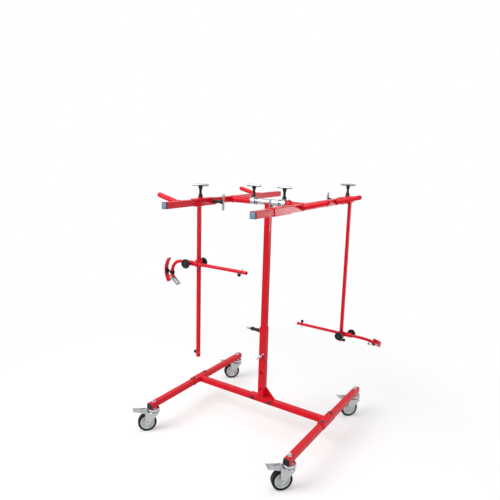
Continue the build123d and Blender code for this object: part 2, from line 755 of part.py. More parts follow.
def carrier(side):
    """Carrier bar with its shaft and horns, and the collar or long sleeve on the shaft."""
    body = Pos(BAR_REACH, 0, HEAD_HEIGHT) * along_y(square_tube(TUBE, TUBE_WALL, BAR_TUBE_LENGTH))
    shaft_end = BAR_REACH - TUBE / 2 + TUBE_WALL
    shaft = Cylinder(SHAFT_RADIUS, shaft_end - SHAFT_CLEAR, align=UPRIGHT)
    body += Pos(SHAFT_CLEAR, 0, HEAD_HEIGHT) * along_x(shaft)
    root_x = BAR_REACH + TUBE / 2 - HORN_SINK
    for y in HORN_PLACES[side]:
        body += Pos(root_x, y, HEAD_HEIGHT) * Rot(0, 90 - HORN_TILT, 0) * horn()
    collar = along_x(ring(SHAFT_RADIUS + SEATED, HUB_RADIUS, HUB_START, HUB_ENDS[side]))
    return [on_side(piece, side) for piece in (body, Pos(0, 0, HEAD_HEIGHT) * collar)]


def carrier_caps(side):
    """End plugs of one carrier bar."""
    place = Pos(BAR_REACH, 0, HEAD_HEIGHT)
    return [on_side(place * cap, side) for cap in end_plug_pair(BAR_TUBE_LENGTH / 2)]


def sleeve():
    """Square sleeve that slides on a carrier bar, about its own middle, with the side weld nut."""
    body = along_y(square_tube(SLEEVE_SIZE, SLEEVE_WALL, SLEEVE_LENGTH))
    seat = Pos(-SLEEVE_SIZE / 2, SIDE_LOCK_Y, 0) * Rot(0, -90, 0)
    body += seat * lock_boss()
    return body - seat * lock_hole(SLEEVE_WALL)


def slider(side):
    """Sleeve with a second weld nut on top and the drop bar welded on its outer face."""
    body = sleeve()
    seat = Pos(0, TOP_LOCK_Y, SLEEVE_SIZE / 2)
    body += seat * lock_boss()
    body -= seat * lock_hole(SLEEVE_WALL)
    top = HEAD_HEIGHT + SLEEVE_SIZE / 2
    length = top - DROP_END
    drop = square_tube(DROP_SIZE, TUBE_WALL, length, DROP_CORNER)
    body += Pos(DROP_X - BAR_REACH, 0, SLEEVE_SIZE / 2 - length / 2) * drop
    for height in DROP_STOPS.values():
        hole = along_x(Cylinder(STOP_RADIUS + SEATED, 2 * DROP_SIZE))
        body -= Pos(DROP_X - BAR_REACH, 0, DROP_END + height - HEAD_HEIGHT) * hole
    return on_side(Pos(BAR_REACH, SLIDER_PLACES[side], HEAD_HEIGHT) * body, side)


def spare_slider():
    """Free sleeve on the right bar, turned end for end."""
    return on_side(Pos(BAR_REACH, SPARE_PLACE, HEAD_HEIGHT) * Rot(180, 0, 0) * sleeve(), "right")


def top_lock(side):
    """Handle on top of a slider."""
    seat_z = HEAD_HEIGHT + SLEEVE_SIZE / 2 + BOSS_HEIGHT
    seat = (BAR_REACH, SLIDER_PLACES[side] + TOP_LOCK_Y, seat_z)
    reach = BOSS_HEIGHT + SLEEVE_WALL + SLIDING - TIP_GAP
    turn = math.radians(TOP_LOCK_TURN)
    bar_way = (math.cos(turn), math.sin(turn), 0)
    return [on_side(piece, side) for piece in placed_handle(reach, seat, (0, 0, 1), bar_way)]


def side_lock(y, side):
    """Handle on the inner face of a sleeve."""
    seat = (BAR_REACH - SLEEVE_SIZE / 2 - BOSS_HEIGHT, y, HEAD_HEIGHT)
    reach = BOSS_HEIGHT + SLEEVE_WALL + SLIDING - TIP_GAP
    return [on_side(piece, side) for piece in placed_handle(reach, seat, (-1, 0, 0), (0, 0, 1))]


# Stop pins, clamps and knobs


def stop_pin(half):
    """Ball headed pin along Z through a piece of the given half size."""
    ball_z = half + BALL_CLEAR + BALL_RADIUS
    tail_z = -half - STOP_TAIL
    shank = Pos(0, 0, tail_z) * Cylinder(STOP_RADIUS, ball_z - tail_z, align=UPRIGHT)
    return shank + Pos(0, 0, ball_z) * Sphere(BALL_RADIUS)


def drop_pin(side):
    """Stop pin across the lower end of a drop bar."""
    place = Pos(DROP_X, SLIDER_PLACES[side], DROP_END + DROP_STOPS[side])
    return on_side(place * along_x(stop_pin(DROP_SIZE / 2)), side)


def clamp_place(side):
    """Middle of the cross clamp, on the drop bar's axis."""
    return Pos(DROP_X, SLIDER_PLACES[side], CLAMP_HEIGHTS[side])


def knob_boss(height):
    """Foot of a clamp knob, along Z from the axis of what it clamps."""
    return Cylinder(KNOB_BOSS_RADIUS, height, align=UPRIGHT)


def knob_hole(height):
    """Screw hole of a clamp knob, from the clamped axis out."""
    return Cylinder(KNOB_SCREW + SEATED, height + SLIDING, align=UPRIGHT)


def cross_clamp(side):
    """Square sleeve on the drop bar and round sleeve for the rod, in one casting."""
    body = Box(CLAMP_SIZE, CLAMP_SIZE, CLAMP_HEIGHT)
    body = fillet(body.edges().filter_by(Axis.Z), TUBE_CORNER)
    rod_length = CLAMP_SIZE / 2 + ROD_SLEEVE_OUT
    rod_middle = Pos(ROD_SLEEVE_OUT - rod_length / 2, ROD_OFFSET, 0)
    body += rod_middle * along_x(Cylinder(ROD_SLEEVE_RADIUS, rod_length))
    body += Pos(0, ROD_OFFSET / 2, 0) * Box(CLAMP_SIZE, ROD_OFFSET, 2 * ROD_SLEEVE_RADIUS)
    drop_seat = Rot(90, 0, 0)
    drop_height = CLAMP_SIZE / 2 + KNOB_BOSS
    rod_seat = Pos(ROD_KNOB_X, ROD_OFFSET, 0) * Rot(-90, 0, 0)
    rod_height = ROD_SLEEVE_RADIUS + KNOB_BOSS
    body += drop_seat * knob_boss(drop_height) + rod_seat * knob_boss(rod_height)
    bar_hole = DROP_SIZE + 2 * SLIDING
    body -= Box(bar_hole, bar_hole, 2 * CLAMP_HEIGHT)
    body -= rod_middle * along_x(Cylinder(ROD_RADIUS + RUNNING, 2 * rod_length))
    body -= drop_seat * knob_hole(drop_height) + rod_seat * knob_hole(rod_height)
    return on_side(clamp_place(side) * body, side)


def knob(reach):
    """Disc knob with its neck and screw, its seat at zero."""
    body = Pos(0, 0, HANDLE_GAP + KNOB_NECK) * Cylinder(KNOB_RADIUS, KNOB_THICK, align=UPRIGHT)
    body = fillet(body.edges().filter_by(GeomType.CIRCLE), KNOB_EDGE)
    body += Pos(0, 0, HANDLE_GAP) * Cylinder(KNOB_NECK_RADIUS, KNOB_NECK + KNOB_EDGE, align=UPRIGHT)
    return body + Pos(0, 0, -reach) * Cylinder(KNOB_SCREW, reach + KNOB_NECK, align=UPRIGHT)


def drop_knob(side):
    """Knob that clamps the drop bar."""
    seat = CLAMP_SIZE / 2 + KNOB_BOSS
    piece = knob(seat - DROP_SIZE / 2 - TIP_GAP)
    return on_side(clamp_place(side) * Rot(90, 0, 0) * Pos(0, 0, seat) * piece, side)


def rod_knob(side):
    """Knob that clamps the rod."""
    seat = ROD_SLEEVE_RADIUS + KNOB_BOSS
    piece = knob(seat - ROD_RADIUS - TIP_GAP)
    place = clamp_place(side) * Pos(ROD_KNOB_X, ROD_OFFSET, 0) * Rot(-90, 0, 0) * Pos(0, 0, seat)
    return on_side(place * piece, side)


# Rods and grippers


def rod_axis(side, x):
    """Place on the rod's axis at a distance out from the mast."""
    return Pos(x, SLIDER_PLACES[side] + ROD_OFFSET, CLAMP_HEIGHTS[side])


def rod(side):
    """Rod tube with the cross hole of its stop pin."""
    body = along_x(ring(ROD_RADIUS - ROD_WALL, ROD_RADIUS, 0, ROD_LENGTH))
    hole = Rot(ROD_STOP_TURN[side], 0, 0) * Cylinder(STOP_RADIUS + SEATED, 3 * ROD_RADIUS)
    body -= Pos(ROD_STOP_INSET, 0, 0) * hole
    return on_side(rod_axis(side, ROD_INNER[side]) * body, side)


def rod_pin(side):
    """Stop pin across the inner end of a rod."""
    place = rod_axis(side, ROD_INNER[side] + ROD_STOP_INSET) * Rot(ROD_STOP_TURN[side], 0, 0)
    return on_side(place * stop_pin(ROD_RADIUS), side)


def gripper_place(side):
    """Outer end of the rod, rolled about the rod's axis."""
    return rod_axis(side, ROD_INNER[side] + ROD_LENGTH) * Rot(GRIPPER_ROLL[side], 0, 0)


def gripper_arm(side):
    """Bent arm on its spigot with the pivot lug and pin, and the pad on its outer face."""
    lead = Line((SIDE_GAP, 0), (ARM_LEAD, 0))
    bend = CenterArc((ARM_LEAD, -ARM_BEND), ARM_BEND, 90, -90)
    tail = Line(bend @ 1, (ARM_END_X, -ARM_BEND - ARM_TAIL))
    path = Plane.XZ * Wire(lead.edges() + bend.edges() + tail.edges())
    section = Plane(origin=(SIDE_GAP, 0, 0), z_dir=(1, 0, 0)) * Circle(ROD_RADIUS)
    body = sweep(section, path=path)
    spigot = Cylinder(ROD_RADIUS - ROD_WALL - RUNNING, SPIGOT_LENGTH, align=UPRIGHT)
    body += Pos(SIDE_GAP - SPIGOT_LENGTH, 0, 0) * along_x(spigot)
    lug_top = disc(ARM_END_X, PIVOT_Z + LUG_DROP, LUG_RADIUS)
    lug = hull(lug_top, disc(ARM_END_X, PIVOT_Z, LUG_RADIUS))
    body += side_plate(lug, 2 * LUG_HALF, 0)
    pin_half = LEVER_Y + LEVER_WALL / 2 + SIDE_GAP + PIVOT_HEAD
    pin = Cylinder(PIVOT_RADIUS, 2 * pin_half)
    for z in (-pin_half + PIVOT_HEAD / 2, pin_half - PIVOT_HEAD / 2):
        pin += Pos(0, 0, z) * Cylinder(PIVOT_HEAD_RADIUS, PIVOT_HEAD)
    body += Pos(ARM_END_X, 0, PIVOT_Z) * along_y(pin)
    pad = along_x(Cylinder(ARM_PAD_RADIUS, ROD_RADIUS + ARM_PAD_WALL, align=UPRIGHT))
    pad -= Cylinder(ROD_RADIUS + SEATED, 4 * ARM_PAD_RADIUS)
    pad = Pos(ARM_END_X, 0, PAD_Z) * pad
    return [on_side(gripper_place(side) * piece, side) for piece in (body, largest(pad))]


def largest(shape):
    """Largest solid of a cut piece."""
    return shape.solids().sort_by(SortBy.VOLUME)[-1]


def jaw_point(angle):
    """Point on the jaw's middle line."""
    turn = math.radians(angle)
    return (JAW_X + JAW_RADIUS * math.cos(turn), JAW_Z + JAW_RADIUS * math.sin(turn))


def jaw(side):
    """Curved outer jaw with two ears on the pivot pin, and its rubber pad."""
    sweep_angle = JAW_TOP_ANGLE - JAW_LOW_ANGLE
    outer = CenterArc((JAW_X, JAW_Z), JAW_RADIUS + JAW_WALL / 2, JAW_LOW_ANGLE, sweep_angle)
    inner = CenterArc((JAW_X, JAW_Z), JAW_RADIUS - JAW_WALL / 2, JAW_LOW_ANGLE, sweep_angle)
    ends = Line(outer @ 0, inner @ 0).edges() + Line(outer @ 1, inner @ 1).edges()
    strip = make_face(outer.edges() + inner.edges() + ends)
    body = side_plate(strip, JAW_WIDTH, 0)
    tips = [disc(*jaw_point(angle), JAW_WALL / 2) for angle in EAR_ANGLES]
    ear = hull(disc(ARM_END_X, PIVOT_Z, LUG_RADIUS), *tips)
    ear -= disc(ARM_END_X, PIVOT_Z, PIVOT_RADIUS + RUNNING)
    for y in (-EAR_Y, EAR_Y):
        body += side_plate(ear, EAR_WALL, y)
    face_x = JAW_X + JAW_RADIUS - JAW_WALL / 2 - JAW_PAD_WALL
    pad = Pos(face_x, 0, PAD_Z) * along_x(Cylinder(JAW_PAD_RADIUS, 2 * JAW_PAD_WALL, align=UPRIGHT))
    backing = along_y(Cylinder(JAW_RADIUS - JAW_WALL / 2 - SEATED, 2 * JAW_WIDTH))
    pad = pad & (Pos(JAW_X, 0, JAW_Z) * backing)
    return [on_side(gripper_place(side) * piece, side) for piece in (body, largest(pad))]


def lever(side):
    """Cam lever with two cheeks outside the jaw's ears and a round grip between them."""
    turn = math.radians(LEVER_HEADING)
    tip_x = ARM_END_X + LEVER_REACH * math.cos(turn)
    tip_z = PIVOT_Z + LEVER_REACH * math.sin(turn)
    cheek = hull(disc(ARM_END_X, PIVOT_Z, LEVER_EYE), disc(tip_x, tip_z, LEVER_TIP))
    cheek -= disc(ARM_END_X, PIVOT_Z, PIVOT_RADIUS + RUNNING)
    body = Pos(tip_x, 0, tip_z) * along_y(Cylinder(LEVER_TIP, 2 * LEVER_Y))
    for y in (-LEVER_Y, LEVER_Y):
        body += side_plate(cheek, LEVER_WALL, y)
    return on_side(gripper_place(side) * body, side)


def all_nodes():
    """Every sub-part by its node name, as a list of solids."""
    nodes = {
        "left_rail": Pos(-RAIL_SPAN / 2, 0, 0) * rail(),
        "right_rail": Pos(RAIL_SPAN / 2, 0, 0) * rail(),
        "rail_end_caps": rail_end_caps(),
        "cross_member": cross_member(),
        "frame_bolts": frame_bolts(),
        "mast_outer": mast_outer(),
        "mast_lock": mast_lock(),
        "height_pin": height_pin(),
        "mast_inner": mast_inner(),
        "spindle_tube": spindle_tube(),
        "spindle_washers": spindle_washers(),
        "spare_slider": spare_slider(),
        "spare_side_lock": side_lock(SPARE_PLACE - SIDE_LOCK_Y, "right"),
        "caster_bolts": [],
    }
    for corner, (x_sign, y_sign) in CASTERS.items():
        place = Pos(x_sign * RAIL_SPAN / 2, y_sign * CASTER_SPAN / 2, 0)
        heading = place * Rot(0, 0, TRAIL_HEADING)
        nodes["caster_bolts"] += [place * piece for piece in caster_bolts()]
        nodes[f"{corner}_fork"] = [heading * piece for piece in fork()]
        nodes[f"{corner}_hub"] = heading * hub()
        nodes[f"{corner}_tyre"] = heading * tyre()
        nodes[f"{corner}_pedal"] = heading * pedal()
    for side in SIDES:
        nodes[f"{side}_spindle_lock"] = spindle_lock(side)
        nodes[f"{side}_carrier"] = carrier(side)
        nodes[f"{side}_carrier_caps"] = carrier_caps(side)
        nodes[f"{side}_slider"] = slider(side)
        nodes[f"{side}_slider_lock"] = top_lock(side)
        nodes[f"{side}_side_lock"] = side_lock(SLIDER_PLACES[side] + SIDE_LOCK_Y, side)
        nodes[f"{side}_drop_pin"] = drop_pin(side)
        nodes[f"{side}_cross_clamp"] = cross_clamp(side)
        nodes[f"{side}_drop_knob"] = drop_knob(side)
        nodes[f"{side}_rod_knob"] = rod_knob(side)
        nodes[f"{side}_rod"] = rod(side)
        nodes[f"{side}_rod_pin"] = rod_pin(side)
        nodes[f"{side}_gripper_arm"] = gripper_arm(side)
        nodes[f"{side}_jaw"] = jaw(side)
        nodes[f"{side}_lever"] = lever(side)
    return nodes


def write_nodes():
    """Writes one STEP file for each sub-part."""
    os.makedirs("parts", exist_ok=True)
    place = Pos(0, BASE_Y, 0)
    for name, shapes in all_nodes().items():
        pieces = shapes if isinstance(shapes, list) else [shapes]
        solids = [solid for piece in pieces for solid in (place * piece).solids()]
        export_step(Compound(label=name, children=solids), f"parts/{name}.step")


write_nodes()
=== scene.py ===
"""Looks of a wheeled stand with two tilting carriers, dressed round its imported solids.

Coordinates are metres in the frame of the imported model. Sizes held by the classes are
millimetres, brought to metres by MM.
"""

import json
import logging
import math
from dataclasses import dataclass, field
from enum import Enum

import bmesh
import bpy
from mathutils import Matrix, Vector

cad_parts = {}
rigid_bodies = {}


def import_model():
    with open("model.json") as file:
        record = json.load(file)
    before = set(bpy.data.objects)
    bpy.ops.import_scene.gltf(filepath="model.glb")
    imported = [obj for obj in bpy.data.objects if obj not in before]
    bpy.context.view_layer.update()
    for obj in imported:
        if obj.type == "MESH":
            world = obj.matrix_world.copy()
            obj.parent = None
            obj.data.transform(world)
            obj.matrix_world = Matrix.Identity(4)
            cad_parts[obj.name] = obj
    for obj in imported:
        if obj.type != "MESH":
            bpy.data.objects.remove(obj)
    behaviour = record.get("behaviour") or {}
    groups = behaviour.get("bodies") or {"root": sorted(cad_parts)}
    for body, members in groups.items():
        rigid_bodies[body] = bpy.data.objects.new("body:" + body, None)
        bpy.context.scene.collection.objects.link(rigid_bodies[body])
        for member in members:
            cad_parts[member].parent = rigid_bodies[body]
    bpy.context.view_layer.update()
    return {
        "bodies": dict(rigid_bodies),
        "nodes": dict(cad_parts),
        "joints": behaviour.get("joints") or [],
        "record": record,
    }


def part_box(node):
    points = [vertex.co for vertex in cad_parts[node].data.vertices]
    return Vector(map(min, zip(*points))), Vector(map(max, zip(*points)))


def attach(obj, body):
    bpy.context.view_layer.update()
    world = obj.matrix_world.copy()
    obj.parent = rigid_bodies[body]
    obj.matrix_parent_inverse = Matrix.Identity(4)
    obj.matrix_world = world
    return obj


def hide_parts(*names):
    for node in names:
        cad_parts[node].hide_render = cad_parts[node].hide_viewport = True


LOG = logging.getLogger("carrier_stand")
IMAGE_SIDE = 500
SENSOR_WIDTH = 36.0
ROUND_STEPS = 48
WHEEL_STEPS = 96
SHARP_ANGLE = 0.6
FLAT_ANGLE = math.radians(1.0)
MERGE_GAP = 0.002
ALIGNED = 0.99
THREAD_CREST = (0.4, 0.6)
MM = 0.001
QUARTER_TURN = math.pi / 2
X_WAY, Y_WAY, Z_WAY = Vector((1, 0, 0)), Vector((0, 1, 0)), Vector((0, 0, 1))

Pair = tuple[float, float]
Triple = tuple[float, float, float]
Profile = list[Pair]
Shape = bmesh.types.BMesh
Tree = bpy.types.NodeTree
Node = bpy.types.Node
Socket = bpy.types.NodeSocket


class Slot(Enum):
    """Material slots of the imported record."""

    RED_PAINT = "red_paint"
    ZINC = "zinc"
    BLACK_HANDLE = "black_handle"
    BLACK_PLASTIC = "black_plastic"
    BLACK_STEEL = "black_steel"
    TYRE = "tyre"
    HUB_GREY = "hub_grey"
    GREY_CAP = "grey_cap"
    CHROME = "chrome"


class Side(Enum):
    """The two carriers, with the sign of their outward direction along X."""

    LEFT = -1
    RIGHT = 1

    @property
    def word(self) -> str:
        """Word that starts the names of this side's nodes."""
        return self.name.lower()


@dataclass(frozen=True)
class Layout:
    """Places and sizes that several sub-assemblies share, in millimetres."""

    base_y: float = -25.0
    mast_x: float = 20.0
    head: float = 1008.0
    bar_reach: float = 194.0
    bar_half: float = 424.0
    tube: float = 25.0
    sleeve: float = 30.0
    rail_x: float = 338.0
    rail_bottom: float = 105.0
    deck: float = 133.0

    def point(self, side: Side, x: float, y: float, z: float) -> Vector:
        """Point drawn for the right carrier, half turned round the mast for the left."""
        return Vector((self.mast_x + side.value * x, side.value * y + self.base_y, z))


LAYOUT = Layout()


# Shader groups


def add_node(tree: Tree, kind: str, **settings: object) -> Node:
    """Adds a node and sets its plain properties.

    Args:
        tree: Tree that gets the node.
        kind: Type name of the node.
        **settings: Properties of the node.

    Returns:
        The new node.
    """
    node = tree.nodes.new(kind)
    for key, value in settings.items():
        setattr(node, key, value)
    return node


def new_group(
    name: str, inputs: dict[str, tuple[str, object]], outputs: dict[str, str]
) -> tuple[Tree, Node, Node]:
    """Makes a shader group that holds only its end nodes.

    Args:
        name: Name of the group.
        inputs: Socket kind and default value by input name.
        outputs: Socket kind by output name.

    Returns:
        The group's node tree, its input node and its output node.
    """
    tree = bpy.data.node_groups.new(name, "ShaderNodeTree")
    for label, (kind, value) in inputs.items():
        socket = tree.interface.new_socket(name=label, in_out="INPUT", socket_type=kind)
        socket.default_value = value
    for label, kind in outputs.items():
        tree.interface.new_socket(name=label, in_out="OUTPUT", socket_type=kind)
    return tree, add_node(tree, "NodeGroupInput"), add_node(tree, "NodeGroupOutput")


def feed(tree: Tree, socket: Socket, value: object) -> None:
    """Links a socket to another one, or sets it to a plain value.

    Args:
        tree: Tree that holds the socket.
        socket: Input socket to feed.
        value: Socket or plain value that feeds it.
    """
    if isinstance(value, bpy.types.NodeSocket):
        tree.links.new(value, socket)
    else:
        socket.default_value = value


def math_node(tree: Tree, operation: str, first: object, second: object) -> Socket:
    """Adds a Math node fed by sockets or plain numbers.

    Args:
        tree: Tree that gets the node.
        operation: Name of the operation.
        first: First socket or number.
        second: Second socket or number.

    Returns:
        The node's output socket.
    """
    node = add_node(tree, "ShaderNodeMath", operation=operation)
    feed(tree, node.inputs[0], first)
    feed(tree, node.inputs[1], second)
    return node.outputs[0]


def map_range(tree: Tree, value: Socket, start: Pair, end: Pair) -> Socket:
    """Adds a smooth, clamped Map Range node.

    Args:
        tree: Tree that gets the node.
        value: Socket to map.
        start: Range of the value.
        end: Range of the result.

    Returns:
        The node's output socket.
    """
    node = add_node(tree, "ShaderNodeMapRange", interpolation_type="SMOOTHSTEP")
    for label, number in zip(("From Min", "From Max", "To Min", "To Max"), (*start, *end)):
        node.inputs[label].default_value = number
    tree.links.new(value, node.inputs["Value"])
    return node.outputs["Result"]


class ShaderGroups:
    """Surface effects that several finishes share, each built once."""

    GLOSS_SCALE = 26.0
    DUST_SCALE = 45.0
    EDGE_GAIN = 3.0

    def __init__(self) -> None:
        """Builds the groups."""
        self.tone = self._tone_drift()
        self.grain = self._surface_grain()
        self.dust = self._settled_dust()
        # Rounded edge normals, and the mask of the painted edge highlight.
        self.edges = self._edge_wear()

    @staticmethod
    def _noise(tree: Tree, scale: object, detail: float) -> Socket:
        """Adds a noise on Object coordinates.

        Args:
            tree: Tree that gets the nodes.
            scale: Socket or number for the scale.
            detail: Octaves of the noise.

        Returns:
            The noise's value socket.
        """
        place = add_node(tree, "ShaderNodeTexCoord")
        noise = add_node(tree, "ShaderNodeTexNoise")
        noise.inputs["Detail"].default_value = detail
        tree.links.new(place.outputs["Object"], noise.inputs["Vector"])
        feed(tree, noise.inputs["Scale"], scale)
        return noise.outputs["Fac"]

    def _tone_drift(self) -> Tree:
        """Slow change of tone over a surface.

        Returns:
            The group's node tree.
        """
        tree, source, sink = new_group(
            "tone_drift",
            {
                "Color": ("NodeSocketColor", (0.5, 0.5, 0.5, 1)),
                "Other": ("NodeSocketColor", (0.4, 0.4, 0.4, 1)),
                "Scale": ("NodeSocketFloat", 12.0),
                "Amount": ("NodeSocketFloat", 0.5),
            },
            {"Color": "NodeSocketColor"},
        )
        slow = self._noise(tree, source.outputs["Scale"], 3.0)
        mask = math_node(tree, "MULTIPLY", slow, source.outputs["Amount"])
        mix = add_node(tree, "ShaderNodeMix", data_type="RGBA")
        tree.links.new(mask, mix.inputs["Factor"])
        tree.links.new(source.outputs["Color"], mix.inputs["A"])
        tree.links.new(source.outputs["Other"], mix.inputs["B"])
        tree.links.new(mix.outputs["Result"], sink.inputs["Color"])
        return tree

    def _surface_grain(self) -> Tree:
        """Fine relief and the change of gloss that goes with it.

        Returns:
            The group's node tree.
        """
        tree, source, sink = new_group(
            "surface_grain",
            {
                "Scale": ("NodeSocketFloat", 400.0),
                "Gloss": ("NodeSocketFloat", 0.3),
                "Spread": ("NodeSocketFloat", 0.1),
            },
            {"Height": "NodeSocketFloat", "Roughness": "NodeSocketFloat"},
        )
        fine = self._noise(tree, source.outputs["Scale"], 2.0)
        slow = self._noise(tree, self.GLOSS_SCALE, 4.0)
        centred = math_node(tree, "SUBTRACT", slow, 0.5)
        change = math_node(tree, "MULTIPLY", centred, source.outputs["Spread"])
        gloss = math_node(tree, "ADD", change, source.outputs["Gloss"])
        tree.links.new(fine, sink.inputs["Height"])
        tree.links.new(gloss, sink.inputs["Roughness"])
        return tree

    def _settled_dust(self) -> Tree:
        """Mask of thin dust on faces that look up.

        Returns:
            The group's node tree.
        """
        tree, source, sink = new_group(
            "settled_dust", {"Amount": ("NodeSocketFloat", 0.1)}, {"Mask": "NodeSocketFloat"}
        )
        shape = add_node(tree, "ShaderNodeNewGeometry")
        split = add_node(tree, "ShaderNodeSeparateXYZ")
        tree.links.new(shape.outputs["Normal"], split.inputs["Vector"])
        up = math_node(tree, "MAXIMUM", split.outputs["Z"], 0.0)
        patch = self._noise(tree, self.DUST_SCALE, 5.0)
        mask = math_node(tree, "MULTIPLY", up, patch)
        mask = math_node(tree, "MULTIPLY", mask, source.outputs["Amount"])
        tree.links.new(mask, sink.inputs["Mask"])
        return tree

    def _edge_wear(self) -> Tree:
        """Rounded edge normal, and a mask of the edges where a lighter colour is painted as a highlight.

        Returns:
            The group's node tree.
        """
        tree, source, sink = new_group(
            "edge_wear",
            {"Radius": ("NodeSocketFloat", 0.0006)},
            {"Normal": "NodeSocketVector", "Mask": "NodeSocketFloat"},
        )
        soft = add_node(tree, "ShaderNodeBevel", samples=4)
        shape = add_node(tree, "ShaderNodeNewGeometry")
        dot = add_node(tree, "ShaderNodeVectorMath", operation="DOT_PRODUCT")
        tree.links.new(source.outputs["Radius"], soft.inputs["Radius"])
        tree.links.new(soft.outputs["Normal"], dot.inputs[0])
        tree.links.new(shape.outputs["Normal"], dot.inputs[1])
        # Mask of the rounded edges, which later gets a painted highlight colour.
        gap = math_node(tree, "SUBTRACT", 1.0, dot.outputs["Value"])
        mask = math_node(tree, "MULTIPLY", gap, self.EDGE_GAIN)
        tree.links.new(soft.outputs["Normal"], sink.inputs["Normal"])
        tree.links.new(mask, sink.inputs["Mask"])
        return tree


# Finishes


@dataclass(frozen=True)
class Finish:
    """One surface finish and the numbers that set its look."""

    slot: Slot
    colour: Triple
    other: Triple
    roughness: float
    spread: float = 0.08
    metallic: float = 0.0
    coat: float = 0.0
    coat_roughness: float = 0.08
    specular: float = 0.5
    drift_scale: float = 9.0
    drift: float = 0.5
    grain_scale: float = 500.0
    grain_depth: float = 0.05
    dust: float = 0.05
    dust_colour: Triple = (0.62, 0.6, 0.57)
    edge_radius: float = 0.0006
    # Lighter colour, and how much of it, painted along the edges as a highlight rather than wear.
    edge_colour: Triple = (0.8, 0.8, 0.8)
    edge: float = 0.1

    def material(self, groups: ShaderGroups) -> bpy.types.Material:
        """Builds the material.

        Args:
            groups: Shared shader groups.

        Returns:
            The new material.
        """
        made = bpy.data.materials.new(self.slot.value)
        made.use_nodes = True
        tree = made.node_tree
        shader = tree.nodes["Principled BSDF"]
        shader.inputs["Metallic"].default_value = self.metallic
        shader.inputs["Coat Weight"].default_value = self.coat
        shader.inputs["Coat Roughness"].default_value = self.coat_roughness
        shader.inputs["Specular IOR Level"].default_value = self.specular
        tone = self._group(tree, groups.tone, Scale=self.drift_scale, Amount=self.drift)
        tone.inputs["Color"].default_value = (*self.colour, 1)
        tone.inputs["Other"].default_value = (*self.other, 1)
        grain = self._group(
            tree, groups.grain, Scale=self.grain_scale, Gloss=self.roughness, Spread=self.spread
        )
        dust = self._group(tree, groups.dust, Amount=self.dust)
        edges = self._group(tree, groups.edges, Radius=self.edge_radius)
        # Painted highlight: a lighter colour laid over the rounded edges.
        edge_highlight = math_node(tree, "MULTIPLY", edges.outputs["Mask"], self.edge)
        colour = self._mix(tree, edge_highlight, tone.outputs["Color"], self.edge_colour)
        colour = self._mix(tree, dust.outputs["Mask"], colour, self.dust_colour)
        tree.links.new(colour, shader.inputs["Base Color"])
        tree.links.new(grain.outputs["Roughness"], shader.inputs["Roughness"])
        bump = add_node(tree, "ShaderNodeBump")
        bump.inputs["Strength"].default_value = self.grain_depth
        bump.inputs["Distance"].default_value = MM
        tree.links.new(grain.outputs["Height"], bump.inputs["Height"])
        tree.links.new(edges.outputs["Normal"], bump.inputs["Normal"])
        tree.links.new(bump.outputs["Normal"], shader.inputs["Normal"])
        return made

    @staticmethod
    def _group(tree: Tree, group: Tree, **values: float) -> Node:
        """Places a shared group with its own values.

        Args:
            tree: Tree that gets the node.
            group: The shared group.
            **values: Value of each named input.

        Returns:
            The node of the placed group.
        """
        node = add_node(tree, "ShaderNodeGroup", node_tree=group)
        for key, value in values.items():
            node.inputs[key].default_value = value
        return node

    @staticmethod
    def _mix(tree: Tree, factor: Socket, base: Socket, over: Triple) -> Socket:
        """Lays a plain colour over a changing one.

        Args:
            tree: Tree that gets the node.
            factor: Socket that says how much of the plain colour shows.
            base: Socket of the changing colour.
            over: The plain colour.

        Returns:
            Socket of the mixed colour.
        """
        node = add_node(tree, "ShaderNodeMix", data_type="RGBA", clamp_factor=True)
        node.inputs["B"].default_value = (*over, 1)
        tree.links.new(factor, node.inputs["Factor"])
        tree.links.new(base, node.inputs["A"])
        return node.outputs["Result"]
